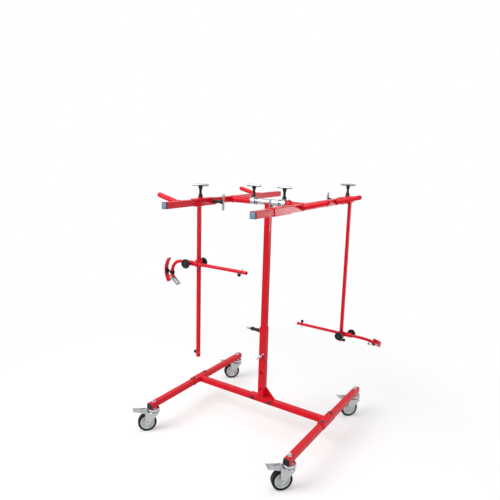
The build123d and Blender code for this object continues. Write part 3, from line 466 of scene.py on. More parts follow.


# The edge colour of each finish is a lighter tone painted along its edges as a highlight.
FINISHES = (
    Finish(
        Slot.RED_PAINT,
        colour=(0.72, 0.004, 0.018),
        other=(0.60, 0.002, 0.013),
        roughness=0.3,
        specular=0.12,
        coat=0.06,
        grain_scale=330.0,
        grain_depth=0.03,
        edge_colour=(0.82, 0.05, 0.06),
        edge=0.2,
        dust=0.02,
    ),
    Finish(
        Slot.ZINC,
        colour=(0.53, 0.54, 0.56),
        other=(0.38, 0.39, 0.42),
        roughness=0.24,
        spread=0.2,
        metallic=0.92,
        drift_scale=60.0,
        drift=0.7,
        grain_scale=900.0,
        grain_depth=0.04,
        edge=0.2,
    ),
    Finish(
        Slot.BLACK_HANDLE,
        colour=(0.010, 0.011, 0.012),
        other=(0.020, 0.021, 0.022),
        roughness=0.36,
        specular=0.2,
        grain_scale=700.0,
        grain_depth=0.08,
        edge_colour=(0.10, 0.10, 0.105),
        edge=0.3,
        dust=0.02,
    ),
    Finish(
        Slot.BLACK_PLASTIC,
        colour=(0.008, 0.011, 0.013),
        other=(0.014, 0.018, 0.021),
        roughness=0.4,
        specular=0.2,
        grain_scale=1100.0,
        grain_depth=0.1,
        edge_colour=(0.07, 0.075, 0.08),
        edge=0.3,
        dust=0.015,
    ),
    Finish(
        Slot.BLACK_STEEL,
        colour=(0.02, 0.02, 0.022),
        other=(0.045, 0.045, 0.048),
        roughness=0.36,
        metallic=0.4,
        grain_scale=800.0,
        grain_depth=0.05,
        edge_colour=(0.3, 0.3, 0.31),
        edge=0.3,
    ),
    Finish(
        Slot.TYRE,
        colour=(0.006, 0.006, 0.007),
        other=(0.013, 0.013, 0.014),
        roughness=0.55,
        specular=0.15,
        drift_scale=30.0,
        grain_scale=650.0,
        grain_depth=0.16,
        dust=0.02,
        edge_colour=(0.05, 0.05, 0.05),
        edge=0.2,
    ),
    Finish(
        Slot.HUB_GREY,
        colour=(0.70, 0.73, 0.70),
        other=(0.58, 0.62, 0.59),
        roughness=0.44,
        specular=0.4,
        drift_scale=22.0,
        grain_scale=900.0,
        grain_depth=0.06,
        edge_colour=(0.8, 0.81, 0.8),
        edge=0.3,
    ),
    Finish(
        Slot.GREY_CAP,
        colour=(0.17, 0.26, 0.36),
        other=(0.12, 0.19, 0.27),
        roughness=0.45,
        drift_scale=25.0,
        grain_scale=800.0,
        grain_depth=0.08,
        edge_colour=(0.5, 0.58, 0.66),
        edge=0.3,
    ),
    Finish(
        Slot.CHROME,
        colour=(0.38, 0.40, 0.43),
        other=(0.28, 0.30, 0.33),
        roughness=0.2,
        spread=0.06,
        metallic=1.0,
        grain_scale=300.0,
        grain_depth=0.004,
        dust=0.02,
        edge=0.1,
    ),
)


class FinishBook:
    """Materials of the stand by slot."""

    def __init__(self, groups: ShaderGroups) -> None:
        """Builds every material once."""
        self._made = {finish.slot: finish.material(groups) for finish in FINISHES}

    def of(self, slot: Slot) -> bpy.types.Material:
        """Material of a slot."""
        return self._made[slot]

    def dress_nodes(self, frame: dict) -> None:
        """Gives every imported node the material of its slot.

        Args:
            frame: The loaded frame.
        """
        for row in frame["record"]["subparts"]:
            mesh_object = frame["nodes"][row["node"]]
            mesh_object.data.materials.clear()
            mesh_object.data.materials.append(self.of(Slot(row["material_slot"])))
            LOG.info("node %s in %s", row["node"], row["material_slot"])


# Mesh helpers


def as_object(shape: Shape, name: str) -> bpy.types.Object:
    """Turns a bmesh into an object at the origin.

    Args:
        shape: The finished bmesh, which is freed.
        name: Name of the object and its mesh.

    Returns:
        The new object.
    """
    mesh = bpy.data.meshes.new(name)
    shape.to_mesh(mesh)
    shape.free()
    made = bpy.data.objects.new(name, mesh)
    bpy.context.scene.collection.objects.link(made)
    return made


def spun(profile: Profile, steps: int = ROUND_STEPS) -> Shape:
    """Spins a profile about Z into a closed shell.

    Args:
        profile: Radius and height of each point, in millimetres.
        steps: Steps of the full turn.

    Returns:
        The new bmesh, in metres.
    """
    shape = bmesh.new()
    points = [shape.verts.new((radius * MM, 0.0, height * MM)) for radius, height in profile]
    edges = [shape.edges.new(pair) for pair in zip(points, points[1:])]
    if profile[0][0] > 0 and profile[-1][0] > 0:
        edges.append(shape.edges.new((points[-1], points[0])))
    bmesh.ops.spin(
        shape,
        geom=points + edges,
        cent=(0, 0, 0),
        axis=(0, 0, 1),
        angle=math.tau,
        steps=steps,
        use_merge=True,
    )
    bmesh.ops.remove_doubles(shape, verts=shape.verts, dist=MERGE_GAP * MM)
    bmesh.ops.recalc_face_normals(shape, faces=shape.faces)
    return shape


def moved(shape: Shape, place: Matrix) -> Shape:
    """Moves a bmesh to its place and returns it."""
    bmesh.ops.transform(shape, matrix=place, verts=shape.verts)
    return shape


def shift(x: float, y: float, z: float) -> Matrix:
    """Translation by millimetres."""
    return Matrix.Translation(Vector((x, y, z)) * MM)


def joined(*shapes: Shape) -> Shape:
    """Joins bmeshes into one, freeing them.

    Args:
        *shapes: The bmeshes to join.

    Returns:
        The joined bmesh.
    """
    whole = bmesh.new()
    for shape in shapes:
        mesh = bpy.data.meshes.new("part")
        shape.to_mesh(mesh)
        shape.free()
        whole.from_mesh(mesh)
        bpy.data.meshes.remove(mesh)
    return whole


def standing(origin: Vector, up: Vector, ahead: Vector) -> Matrix:
    """Place with its Z along one direction and its X near another.

    Args:
        origin: Origin of the place.
        up: Direction of Z.
        ahead: Direction near X.

    Returns:
        The place as a matrix.
    """
    z_way = up.normalized()
    x_way = (ahead - z_way * ahead.dot(z_way)).normalized()
    turn = Matrix((x_way, z_way.cross(x_way), z_way)).transposed().to_4x4()
    return Matrix.Translation(origin) @ turn


def soften(shape: Shape, edges: list, width: float, segments: int = 3) -> Shape:
    """Rounds some edges of a bmesh and returns it.

    Args:
        shape: The bmesh.
        edges: Edges to round.
        width: Width of the rounding in millimetres.
        segments: Steps of the rounding.

    Returns:
        The same bmesh.
    """
    bmesh.ops.bevel(
        shape, geom=edges, offset=width * MM, affect="EDGES", segments=segments, profile=0.5, material=-1
    )
    shape.normal_update()
    return shape


def sharp_edges(shape: Shape) -> list:
    """Edges whose faces meet at a sharp angle."""
    return [line for line in shape.edges if line.calc_face_angle(0.0) > SHARP_ANGLE]


def edges_along(shape: Shape, way: Vector) -> list:
    """Straight edges that run along a direction."""
    runs = [(line, line.verts[1].co - line.verts[0].co) for line in shape.edges]
    return [line for line, run in runs if abs(run.normalized().dot(way)) > ALIGNED]


def top_face(shape: Shape) -> bmesh.types.BMFace:
    """Face that lies highest."""
    return max(shape.faces, key=lambda item: item.calc_center_median().z)


def block(size: Triple, middle: Triple = (0, 0, 0)) -> Shape:
    """Box with sharp edges, in millimetres, to be softened.

    Args:
        size: Lengths along X, Y and Z.
        middle: Place of its middle.

    Returns:
        The new bmesh, in metres.
    """
    shape = bmesh.new()
    scale = Matrix.Diagonal((*(Vector(size) * MM), 1.0))
    bmesh.ops.create_cube(shape, size=1.0, matrix=shift(*middle) @ scale)
    shape.normal_update()
    return shape


def pillow(size: Triple, middle: Triple, edge: float) -> Shape:
    """Box with all its edges rounded, in millimetres."""
    shape = block(size, middle)
    return soften(shape, shape.edges[:], edge)


def prism(radius: float, length: float, sides: int, place: Matrix) -> Shape:
    """Regular prism about Z with sharp edges, moved to its place.

    Args:
        radius: Corner radius in millimetres.
        length: Length in millimetres.
        sides: Number of sides.
        place: Where its middle goes.

    Returns:
        The new bmesh, in metres.
    """
    shape = bmesh.new()
    bmesh.ops.create_cone(
        shape,
        cap_ends=True,
        segments=sides,
        radius1=radius * MM,
        radius2=radius * MM,
        depth=length * MM,
        matrix=place,
    )
    return shape


def round_bar(radius: float, length: float, edge: float, steps: int = 24) -> Shape:
    """Round bar along X about the origin, with rounded ends.

    Args:
        radius: Radius in millimetres.
        length: Length in millimetres.
        edge: Rounding of the ends in millimetres.
        steps: Sides of the bar.

    Returns:
        The new bmesh, in metres.
    """
    shape = prism(radius, length, steps, Matrix.Rotation(QUARTER_TURN, 4, "Y"))
    shape.normal_update()
    return soften(shape, sharp_edges(shape), edge)


def hull_plate(discs: list[Triple], wall: float, y: float, edge: float) -> Shape:
    """Plate in X and Z whose outline is drawn tight round discs.

    Args:
        discs: Place along X and Z and radius of each disc, in millimetres.
        wall: Thickness along Y in millimetres.
        y: Middle of the plate along Y in millimetres.
        edge: Rounding of its edges in millimetres.

    Returns:
        The new bmesh, in metres.
    """
    shape = bmesh.new()
    for x, z, radius in discs:
        for face in (y - wall / 2, y + wall / 2):
            place = shift(x, face, z) @ Matrix.Rotation(QUARTER_TURN, 4, "X")
            bmesh.ops.create_circle(shape, segments=ROUND_STEPS // 2, radius=radius * MM, matrix=place)
    made = bmesh.ops.convex_hull(shape, input=shape.verts[:])
    inside = [item for item in made["geom_interior"] if isinstance(item, bmesh.types.BMVert)]
    bmesh.ops.delete(shape, geom=inside, context="VERTS")
    bmesh.ops.delete(shape, geom=[line for line in shape.edges if line.is_wire], context="EDGES")
    bmesh.ops.dissolve_limit(shape, angle_limit=FLAT_ANGLE, verts=shape.verts[:], edges=shape.edges[:])
    bmesh.ops.recalc_face_normals(shape, faces=shape.faces)
    shape.normal_update()
    return soften(shape, sharp_edges(shape), edge, 2)


def six_sided(radius: float, angle: float) -> float:
    """Distance from the middle of a hexagon to its side in one direction.

    Args:
        radius: Radius of the circle inside the hexagon.
        angle: Direction in radians.

    Returns:
        The distance.
    """
    return radius / math.cos((angle % (math.pi / 3)) - math.pi / 6)


def hexagon(radius: float, height: float, edge: float) -> Shape:
    """Hexagon nut body on Z from zero up, with softened edges.

    Args:
        radius: Corner radius in millimetres.
        height: Height in millimetres.
        edge: Width of the softened edges in millimetres.

    Returns:
        The new bmesh, in metres.
    """
    shape = prism(radius, height, 6, shift(0, 0, height / 2))
    return soften(shape, shape.edges[:], edge, 2)


def thread(radius: float, depth: float, start: float, turns: int, pitch: float) -> Profile:
    """Ridges of a screw thread as profile points, from the start upwards.

    Args:
        radius: Outer radius in millimetres.
        depth: Depth of the grooves in millimetres.
        start: Height of the first ridge in millimetres.
        turns: Number of ridges.
        pitch: Distance between ridges in millimetres.

    Returns:
        The profile points.
    """
    points = []
    for turn in range(turns):
        base = start + turn * pitch
        points.append((radius - depth, base))
        points += [(radius, base + pitch * share) for share in THREAD_CREST]
    return points + [(radius - depth, start + turns * pitch)]


def mirrored(half: Profile) -> Profile:
    """Profile of one half, followed by its mirror image below zero."""
    return half + [(radius, -height) for radius, height in reversed(half)]


class Workshop:
    """Adds finished pieces to the loaded stand."""

    SMOOTH_BELOW = math.radians(38.0)

    def __init__(self, frame: dict, book: FinishBook) -> None:
        """Keeps the frame's joints and the materials."""
        self.book = book
        self.joints = {row["name"]: row for row in frame["record"]["behaviour"]["joints"]}

    def axis(self, joint: str) -> Vector:
        """Direction of a joint's axis."""
        return Vector(self.joints[joint]["axis"]).normalized()

    def place(self, joint: str) -> Vector:
        """A point on a hinge's axis."""
        return Vector(self.joints[joint]["pos_m"])

    def add(self, shape: Shape, name: str, slot: Slot, body: str, *stands_for: str) -> None:
        """Finishes a piece and puts it on its body.

        Args:
            shape: The piece's bmesh, in its place.
            name: Name of the piece.
            slot: Its material slot.
            body: The body that carries it.
            *stands_for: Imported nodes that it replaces.
        """
        piece = as_object(shape, name)
        piece.data.shade_smooth()
        piece.data.set_sharp_from_angle(angle=self.SMOOTH_BELOW)
        piece.data.materials.append(self.book.of(slot))
        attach(piece, body)
        if stands_for:
            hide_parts(*stands_for)
        LOG.info("piece %s on %s", name, body)


def reach_along(node: str, way: Vector) -> float:
    """Furthest point of a node's box along a direction that lies on an axis.

    Args:
        node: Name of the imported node.
        way: Direction along X, Y or Z.

    Returns:
        The furthest coordinate along the direction.
    """
    return max(corner.dot(way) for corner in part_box(node))


def box_middle(node: str) -> Vector:
    """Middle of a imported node's box."""
    low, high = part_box(node)
    return (low + high) / 2


# Handles, knobs and pins


@dataclass
class LockHandle:
    """Waisted black grip on its screw, under a plated cross bar."""

    node: str
    outward: Vector
    bar_way: Triple
    waist: float = 5.2
    height: float = 52.1
    gap: float = 0.5
    flare: float = 10.0
    waist_span: Pair = (3.0, 38.0)
    waist_steps: int = 12
    grip: float = 9.0
    grip_top: float = 44.0
    stub: float = 4.6
    stub_top: float = 48.4
    bar_height: float = 47.6
    bar_radius: float = 5.2
    bar_length: float = 68.0
    bar_rounding: float = 0.55
    screw: float = 4.0
    thread_depth: float = 0.6
    thread_turns: int = 5
    thread_pitch: float = 1.25

    def build(self, shop: Workshop) -> None:
        """Builds the grip and the cross bar on the node's seat.

        Args:
            shop: Workshop that adds the pieces.
        """
        outward = self.outward
        point = shop.place(f"{self.node}_turn")
        top = reach_along(self.node, outward)
        reach = (top + reach_along(self.node, -outward)) / MM - self.height
        origin = point + outward * (top - self.height * MM - point.dot(outward))
        place = standing(origin, outward, Vector(self.bar_way))
        stem = spun(self._screw(reach) + self._waist() + self._head())
        shop.add(moved(stem, place), f"{self.node}_grip", Slot.BLACK_HANDLE, self.node, self.node)
        bar = round_bar(self.bar_radius, self.bar_length, self.bar_radius * self.bar_rounding)
        bar = moved(bar, place @ shift(0, 0, self.bar_height))
        shop.add(bar, f"{self.node}_bar", Slot.CHROME, self.node)

    def _screw(self, reach: float) -> Profile:
        """Threaded screw below the seat, and the grip's flat foot.

        Args:
            reach: Length of the screw in millimetres.

        Returns:
            The profile points.
        """
        core = self.screw - self.thread_depth
        ridges = thread(self.screw, self.thread_depth, 0.4 - reach, self.thread_turns, self.thread_pitch)
        foot = [(core, self.gap), (self.flare - 0.9, self.gap), (self.flare - 0.2, self.gap + 0.4)]
        return [(0.0, -reach), (core - 0.4, -reach)] + ridges + foot + [(self.flare, self.gap + 1.1)]

    def _waist(self) -> Profile:
        """Hollow waist of the grip, on one even curve.

        Returns:
            The profile points.
        """
        low, high = self.waist_span
        mean, slope = (self.flare + self.grip) / 2, (self.grip - self.flare) / 2
        points = []
        for step in range(self.waist_steps + 1):
            way = 2 * step / self.waist_steps - 1
            radius = self.waist + slope * way + (mean - self.waist) * way**2
            points.append((radius, low + (high - low) * (way + 1) / 2))
        return points

    def _head(self) -> Profile:
        """Grooved collar of the grip and the stub that ends inside the cross bar.

        Returns:
            The profile points.
        """
        grip, top, stub = self.grip, self.grip_top, self.stub
        collar = [(grip, top - 5.0), (grip - 0.4, top - 4.6), (grip - 0.4, top - 4.0), (grip, top - 3.6)]
        collar += [(grip, top - 1.5), (grip - 0.5, top - 0.5), (grip - 1.5, top), (stub + 0.5, top)]
        end = self.stub_top
        collar += [(stub, top + 0.5), (stub, end - 1.5), (stub - 0.5, end - 0.6), (stub - 1.6, end)]
        return collar + [(0.0, end)]


@dataclass
class ClampKnob:
    """Fluted disc knob with a dished face, on its screw."""

    node: str
    height: float = 19.5
    radius: float = 20.0
    flutes: int = 24
    flute_steps: int = 6
    flute_width: float = 2.0
    flute_depth: float = 0.045
    neck: float = 8.0
    insert: float = 4.6
    screw_radius: float = 3.0
    screw_reach: float = 8.8

    def build(self, shop: Workshop) -> None:
        """Builds the knob and its steel insert.

        Args:
            shop: Workshop that adds the pieces.
        """
        joint = f"{self.node}_turn"
        outward = shop.axis(joint)
        point = shop.place(joint)
        seat = reach_along(self.node, outward) - self.height * MM
        place = standing(point + outward * (seat - point.dot(outward)), outward, Z_WAY)
        shop.add(moved(self._grip(), place), f"{self.node}_grip", Slot.BLACK_PLASTIC, self.node, self.node)
        rim = self.insert
        face = spun([(0.0, 18.5), (rim, 18.5), (rim, 19.0), (rim - 0.6, 19.4), (0.0, 19.45)])
        shop.add(moved(face, place), f"{self.node}_insert", Slot.BLACK_STEEL, self.node)

    def _grip(self) -> Shape:
        """Knob with its neck and screw, its rim drawn in between the flutes.

        Returns:
            The new bmesh, in metres.
        """
        rim, neck, screw, low = self.radius, self.neck, self.screw_radius, -self.screw_reach
        profile = [(0.0, low), (screw, low), (screw, 0.5), (neck, 0.5), (neck, 5.6), (neck + 1.0, 6.4)]
        profile += [(rim - 3.6, 6.6), (rim - 1.2, 7.4), (rim - 0.2, 9.2)]
        profile += [(rim, 11.0), (rim, 15.0), (rim - 0.4, 17.2), (rim - 1.8, 18.9), (rim - 3.6, 19.5)]
        profile += [(rim - 5.2, 19.2), (rim - 6.2, 18.0), (rim - 7.4, 17.4), (8.6, 17.2), (7.6, 17.8)]
        body = spun(profile + [(7.0, 18.6), (0.0, 18.8)], steps=self.flutes * self.flute_steps)
        for spot in body.verts:
            if math.hypot(spot.co.x, spot.co.y) > (rim - self.flute_width) * MM:
                wave = 0.5 - 0.5 * math.cos(self.flutes * math.atan2(spot.co.y, spot.co.x))
                spot.co.x *= 1.0 - self.flute_depth * wave
                spot.co.y *= 1.0 - self.flute_depth * wave
        return body


@dataclass
class BallPin:
    """Plated stop pin with a black ball."""

    node: str
    through: float = 7.0
    ball_radius: float = 7.5
    ball_gap: float = 1.0
    pin_radius: float = 2.5
    collar: float = 4.2
    tail: float = 12.0
    ball_steps: tuple[int, int] = (40, 24)
    pin_steps: int = 28
    seam_way: Triple = (1, 0.3, 0.2)

    def build(self, shop: Workshop, on_axis: Vector) -> None:
        """Builds the ball and the pin.

        Args:
            shop: Workshop that adds the pieces.
            on_axis: Middle of the bar that the pin crosses.
        """
        outward = shop.axis(f"{self.node}_pull")
        place = standing(on_axis, outward, Vector(self.seam_way))
        ball = bmesh.new()
        around, up = self.ball_steps
        bmesh.ops.create_uvsphere(ball, u_segments=around, v_segments=up, radius=self.ball_radius * MM)
        lift = shift(0, 0, self.through + self.ball_gap + self.ball_radius)
        shop.add(moved(ball, place @ lift), f"{self.node}_ball", Slot.BLACK_PLASTIC, self.node, self.node)
        end, rim, low = -self.through - self.tail, self.pin_radius, self.pin_radius - 0.5
        collar, seat = self.collar, self.through
        profile = [(0.0, end), (rim - 1.1, end), (rim - 0.4, end + 0.5), (rim, end + 1.4), (rim, end + 3.0)]
        profile += [(low, end + 3.3), (low, end + 4.3), (rim, end + 4.6), (rim, seat + 0.3)]
        profile += [(collar, seat + 0.5), (collar, seat + 1.6), (0.0, seat + 1.8)]
        pin = spun(profile, steps=self.pin_steps)
        shop.add(moved(pin, place), f"{self.node}_shank", Slot.ZINC, self.node)


@dataclass
class HeightPin:
    """Plated pin under the inner mast, with a round head and a cross bar to pull it by."""

    node: str = "height_pin"
    layout: Layout = LAYOUT
    height: float = 330.0
    tail: float = -22.0
    seat: float = 23.0
    end: float = 33.0
    radius: float = 4.5
    head: float = 7.0
    bar_radius: float = 2.3
    bar_length: float = 52.0
    bar_edge: float = 1.4
    bar_place: float = 27.5
    bar_way: Triple = (1, 0, 1)

    def build(self, shop: Workshop) -> None:
        """Builds the pin and its cross bar as one piece.

        Args:
            shop: Workshop that adds the piece.
        """
        origin = Vector((self.layout.mast_x, self.layout.base_y, self.height)) * MM
        place = standing(origin, shop.axis(f"{self.node}_pull"), Vector(self.bar_way))
        tail, seat, end, radius, head = self.tail, self.seat, self.end, self.radius, self.head
        profile = [(0.0, tail), (radius - 1.4, tail), (radius - 1.0, tail + 0.4), (radius, tail + 2.0)]
        profile += [(radius, seat), (head - 0.8, seat), (head, seat + 0.8), (head, end - 3.2)]
        profile += [(head - 0.5, end - 1.7), (head - 1.6, end - 0.7), (head - 3.6, end - 0.1), (0.0, end)]
        bar = round_bar(self.bar_radius, self.bar_length, self.bar_edge)
        bar = moved(bar, shift(0, 0, self.bar_place))
        pin = joined(moved(spun(profile), place), moved(bar, place))
        shop.add(pin, f"{self.node}_fitted", Slot.ZINC, self.node, self.node)


# Base frame


@dataclass
class FrameBolts:
    """Socket head bolts and nuts that hold the base together."""

    layout: Layout = LAYOUT
    rail_pitch: float = 87.0
    mast_pitch: float = 90.0
    saddle_half: float = 15.5
    head_radius: float = 6.8
    head_height: float = 5.0
    socket: float = 2.6
    shank: float = 4.0
    thread_depth: float = 0.5
    thread_turns: int = 4
    thread_pitch: float = 1.25
    tip: float = 2.0
    washer: float = 8.6
    washer_steps: int = 40
    nut_radius: float = 7.4
    nut_height: float = 6.0
    nut_edge: float = 0.5

    def _bolt(self, grip: float) -> Shape:
        """Bolt with its seat at zero, its nut at the end of its grip.

        Args:
            grip: Thickness that the bolt holds, in millimetres.

        Returns:
            The bolt and nut as one bmesh.
        """
        rim, top, socket, shank = self.head_radius, self.head_height, self.socket, self.shank
        end = -grip - self.nut_height - self.tip
        profile = [(0.0, end), (shank - 0.9, end)]
        profile += thread(shank, self.thread_depth, end + 0.6, self.thread_turns, self.thread_pitch)
        profile += [(shank, -grip), (shank, 0.0), (rim - 0.3, 0.0), (rim, 0.4), (rim, 1.2), (rim - 0.7, 2.8)]
        profile += [(rim - 1.9, 4.2), (rim - 3.2, top), (socket + 0.5, top), (socket, top - 0.3)]
        body = spun(profile + [(socket, top - 2.6), (0.0, top - 2.9)])
        for spot in body.verts:
            flat = math.hypot(spot.co.x, spot.co.y)
            if spot.co.z > (top - 2.8) * MM and 0.0 < flat < (socket + 0.2) * MM:
                reach = six_sided(socket * MM, math.atan2(spot.co.y, spot.co.x)) / flat
                spot.co.x *= reach
                spot.co.y *= reach
        edge = self.washer
        profile = [(shank, 0.0), (edge, 0.0), (edge, 0.9), (edge - 0.4, 1.2), (shank, 1.2)]
        washer = spun(profile, steps=self.washer_steps)
        nut = hexagon(self.nut_radius, self.nut_height, self.nut_edge)
        nut = moved(nut, shift(0, 0, -grip - self.nut_height))
        return joined(body, washer, nut)

    def build(self, shop: Workshop) -> None:
        """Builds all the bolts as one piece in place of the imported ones.

        Args:
            shop: Workshop that adds the piece.
        """
        spread, middle = self.layout.rail_x, self.layout.base_y
        rail_grip = self.layout.deck - self.layout.rail_bottom
        bolts = []
        for x in (-spread, spread):
            for step in (-0.5, 0.5):
                seat = shift(x, middle + step * self.rail_pitch, self.layout.deck)
                bolts.append(moved(self._bolt(rail_grip), seat))
        height = self.layout.rail_bottom + self.layout.tube / 2
        for step in (-0.5, 0.5):
            along = self.layout.mast_x + step * self.mast_pitch
            seat = Vector((along, middle - self.saddle_half, height)) * MM
            bolts.append(moved(self._bolt(2 * self.saddle_half), standing(seat, -Y_WAY, X_WAY)))
        shop.add(joined(*bolts), "frame_bolts_fitted", Slot.BLACK_STEEL, "base", "frame_bolts")


class WeldBook:
    """Weld beads along the seams of one body, joined into one piece."""

    FEWEST = 8
    PITCH = 1.7
    RADIUS = 2.1
    SWELL = 0.12
    SWELL_STEP = 2.4
    FLATTEN = 0.62
    ROUND_START = Vector((0.3, 0.5, 0.9))

    def __init__(self) -> None:
        """Starts with no bead."""
        self.shape = bmesh.new()
        self.count = 0

    def bead(self, place: Vector, way: Vector) -> None:
        """Adds one ripple of a bead.

        Args:
            place: Where it sits, in metres.
            way: Direction of the seam.
        """
        swell = 1.0 + self.SWELL * math.sin(self.count * self.SWELL_STEP)
        turn = way.to_track_quat("X", "Z").to_matrix().to_4x4()
        squash = Matrix.Diagonal((self.FLATTEN, 1.0, 1.0, 1.0))
        bmesh.ops.create_icosphere(
            self.shape,
            subdivisions=2,
            radius=self.RADIUS * swell * MM,
            matrix=Matrix.Translation(place) @ turn @ squash,
        )
        self.count += 1

    def along(self, *corners: Triple) -> None:
        """Lays a bead along straight runs.

        Args:
            *corners: Corners of the runs, in millimetres.
        """
        for first, last in zip(corners, corners[1:]):
            start, run = Vector(first), Vector(last) - Vector(first)
            steps = max(1, round(run.length / self.PITCH))
            for step in range(steps + 1):
                self.bead((start + run * (step / steps)) * MM, run)

    def around(self, middle: Vector, axis: Vector, radius: float) -> None:
        """Lays a bead round a circle.

        Args:
            middle: Middle of the circle, in millimetres.
            axis: Axis of the circle.
            radius: Radius in millimetres.
        """
        frame = standing(middle, axis, self.ROUND_START)
        steps = max(self.FEWEST, round(math.tau * radius / self.PITCH))
        for step in range(steps):
            angle = math.tau * step / steps
            spot = frame @ Vector((radius * math.cos(angle), radius * math.sin(angle), 0.0))
            way = frame.to_3x3() @ Vector((-math.sin(angle), math.cos(angle), 0.0))
            self.bead(spot * MM, way)

    def finish(self, shop: Workshop, name: str, body: str) -> None:
        """Adds the beads as one painted piece.

        Args:
            shop: Workshop that adds the piece.
            name: Name of the piece.
            body: Body that carries it.
        """
        shop.add(self.shape, name, Slot.RED_PAINT, body)


# Casters


@dataclass
class SwivelHeads:
    """Plated races, kingpins and dome nuts over the casters, with black dust seals."""

    corners: tuple[str, ...]
    race: float = 26.5
    race_bottom: float = 90.4
    race_top: float = 102.4
    race_steps: int = 72
    neck: float = 13.0
    bore: float = 5.05
    kingpin: float = 5.0
    kingpin_head: float = 8.5
    kingpin_foot: float = 77.95
    kingpin_rise: float = 7.5
    crown: float = 81.95
    rail_bottom: float = LAYOUT.rail_bottom
    rail_top: float = LAYOUT.rail_bottom + LAYOUT.tube
    nut_radius: float = 7.8
    nut_base: float = 5.2
    nut_edge: float = 0.6
    flange: float = 9.0
    dome: float = 6.5
    seal_span: Pair = (22.7, 25.9)
    seal_height: float = 2.2

    def build(self, shop: Workshop) -> None:
        """Builds the heads of all the casters.

        Args:
            shop: Workshop that adds the pieces.
        """
        plated, seals = [], []
        bore, rim = self.seal_span
        top, low = self.race_bottom, self.race_bottom - self.seal_height
        for corner in self.corners:
            swivel = shop.place(f"{corner}_swivel")
            place = Matrix.Translation((swivel.x, swivel.y, 0.0))
            pieces = (self._race(), self._kingpin(), *self._dome_nut())
            plated += [moved(piece, place) for piece in pieces]
            seal = spun([(bore, low), (rim - 0.5, low), (rim, low + 0.5), (rim, top), (bore, top)])
            seals.append(moved(seal, place))
        shop.add(joined(*plated), "swivel_heads", Slot.ZINC, "base", "caster_bolts")
        shop.add(joined(*seals), "swivel_seals", Slot.BLACK_PLASTIC, "base")

    def _race(self) -> Shape:
        """Upper race with a rolled rim, a pressing line and its neck up to the rail.

        Returns:
            The new bmesh, in metres.
        """
        rim, low, top, neck = self.race, self.race_bottom, self.race_top, self.neck
        profile = [(self.bore, low), (rim - 1.9, low), (rim - 0.7, low + 0.2), (rim - 0.1, low + 0.8)]
        profile += [(rim, low + 1.6), (rim, low + 2.6), (rim - 0.8, low + 3.0), (rim - 0.8, low + 3.7)]
        profile += [(rim, low + 4.1), (rim, top - 3.6), (rim - 0.3, top - 2.2), (rim - 1.3, top - 0.8)]
        profile += [(rim - 2.8, top - 0.1), (rim - 4.0, top), (neck + 1.5, top), (neck + 0.4, top + 0.3)]
        profile += [(neck, top + 0.9), (neck, self.rail_bottom), (self.bore, self.rail_bottom)]
        return spun(profile, steps=self.race_steps)

    def _kingpin(self) -> Shape:
        """Kingpin with its head under the crown.

        Returns:
            The new bmesh, in metres.
        """
        foot, crown, pin, head = self.kingpin_foot, self.crown, self.kingpin, self.kingpin_head
        end = self.rail_top + self.kingpin_rise
        profile = [(0.0, foot), (head - 0.6, foot), (head, foot + 0.6), (head, crown), (pin, crown)]
        return spun(profile + [(pin, end - 0.6), (pin - 0.6, end), (0.0, end)])

    def _dome_nut(self) -> tuple[Shape, Shape, Shape]:
        """Flange, hexagon and dome of the nut on the rail.

        Returns:
            The three bmeshes, in metres.
        """
        seat = shift(0, 0, self.rail_top)
        base, bore, rim, dome = self.nut_base, self.bore, self.flange, self.dome
        profile = [(bore, 0.0), (rim - 0.2, 0.0), (rim, 0.3), (rim - 0.3, 0.9), (rim - 1.2, 1.3)]
        flange = spun(profile + [(bore, 1.3)])
        profile = [(0.0, base - 0.6), (dome, base - 0.6), (dome, base + 0.4), (dome - 0.3, base + 2.2)]
        profile += [(dome - 1.0, base + 4.2), (dome - 2.2, base + 5.9), (dome - 3.7, base + 6.9)]
        top = spun(profile + [(dome - 5.3, base + 7.35), (0.0, base + 7.4)])
        nut = hexagon(self.nut_radius, base, self.nut_edge)
        return tuple(moved(piece, seat) for piece in (flange, nut, top))


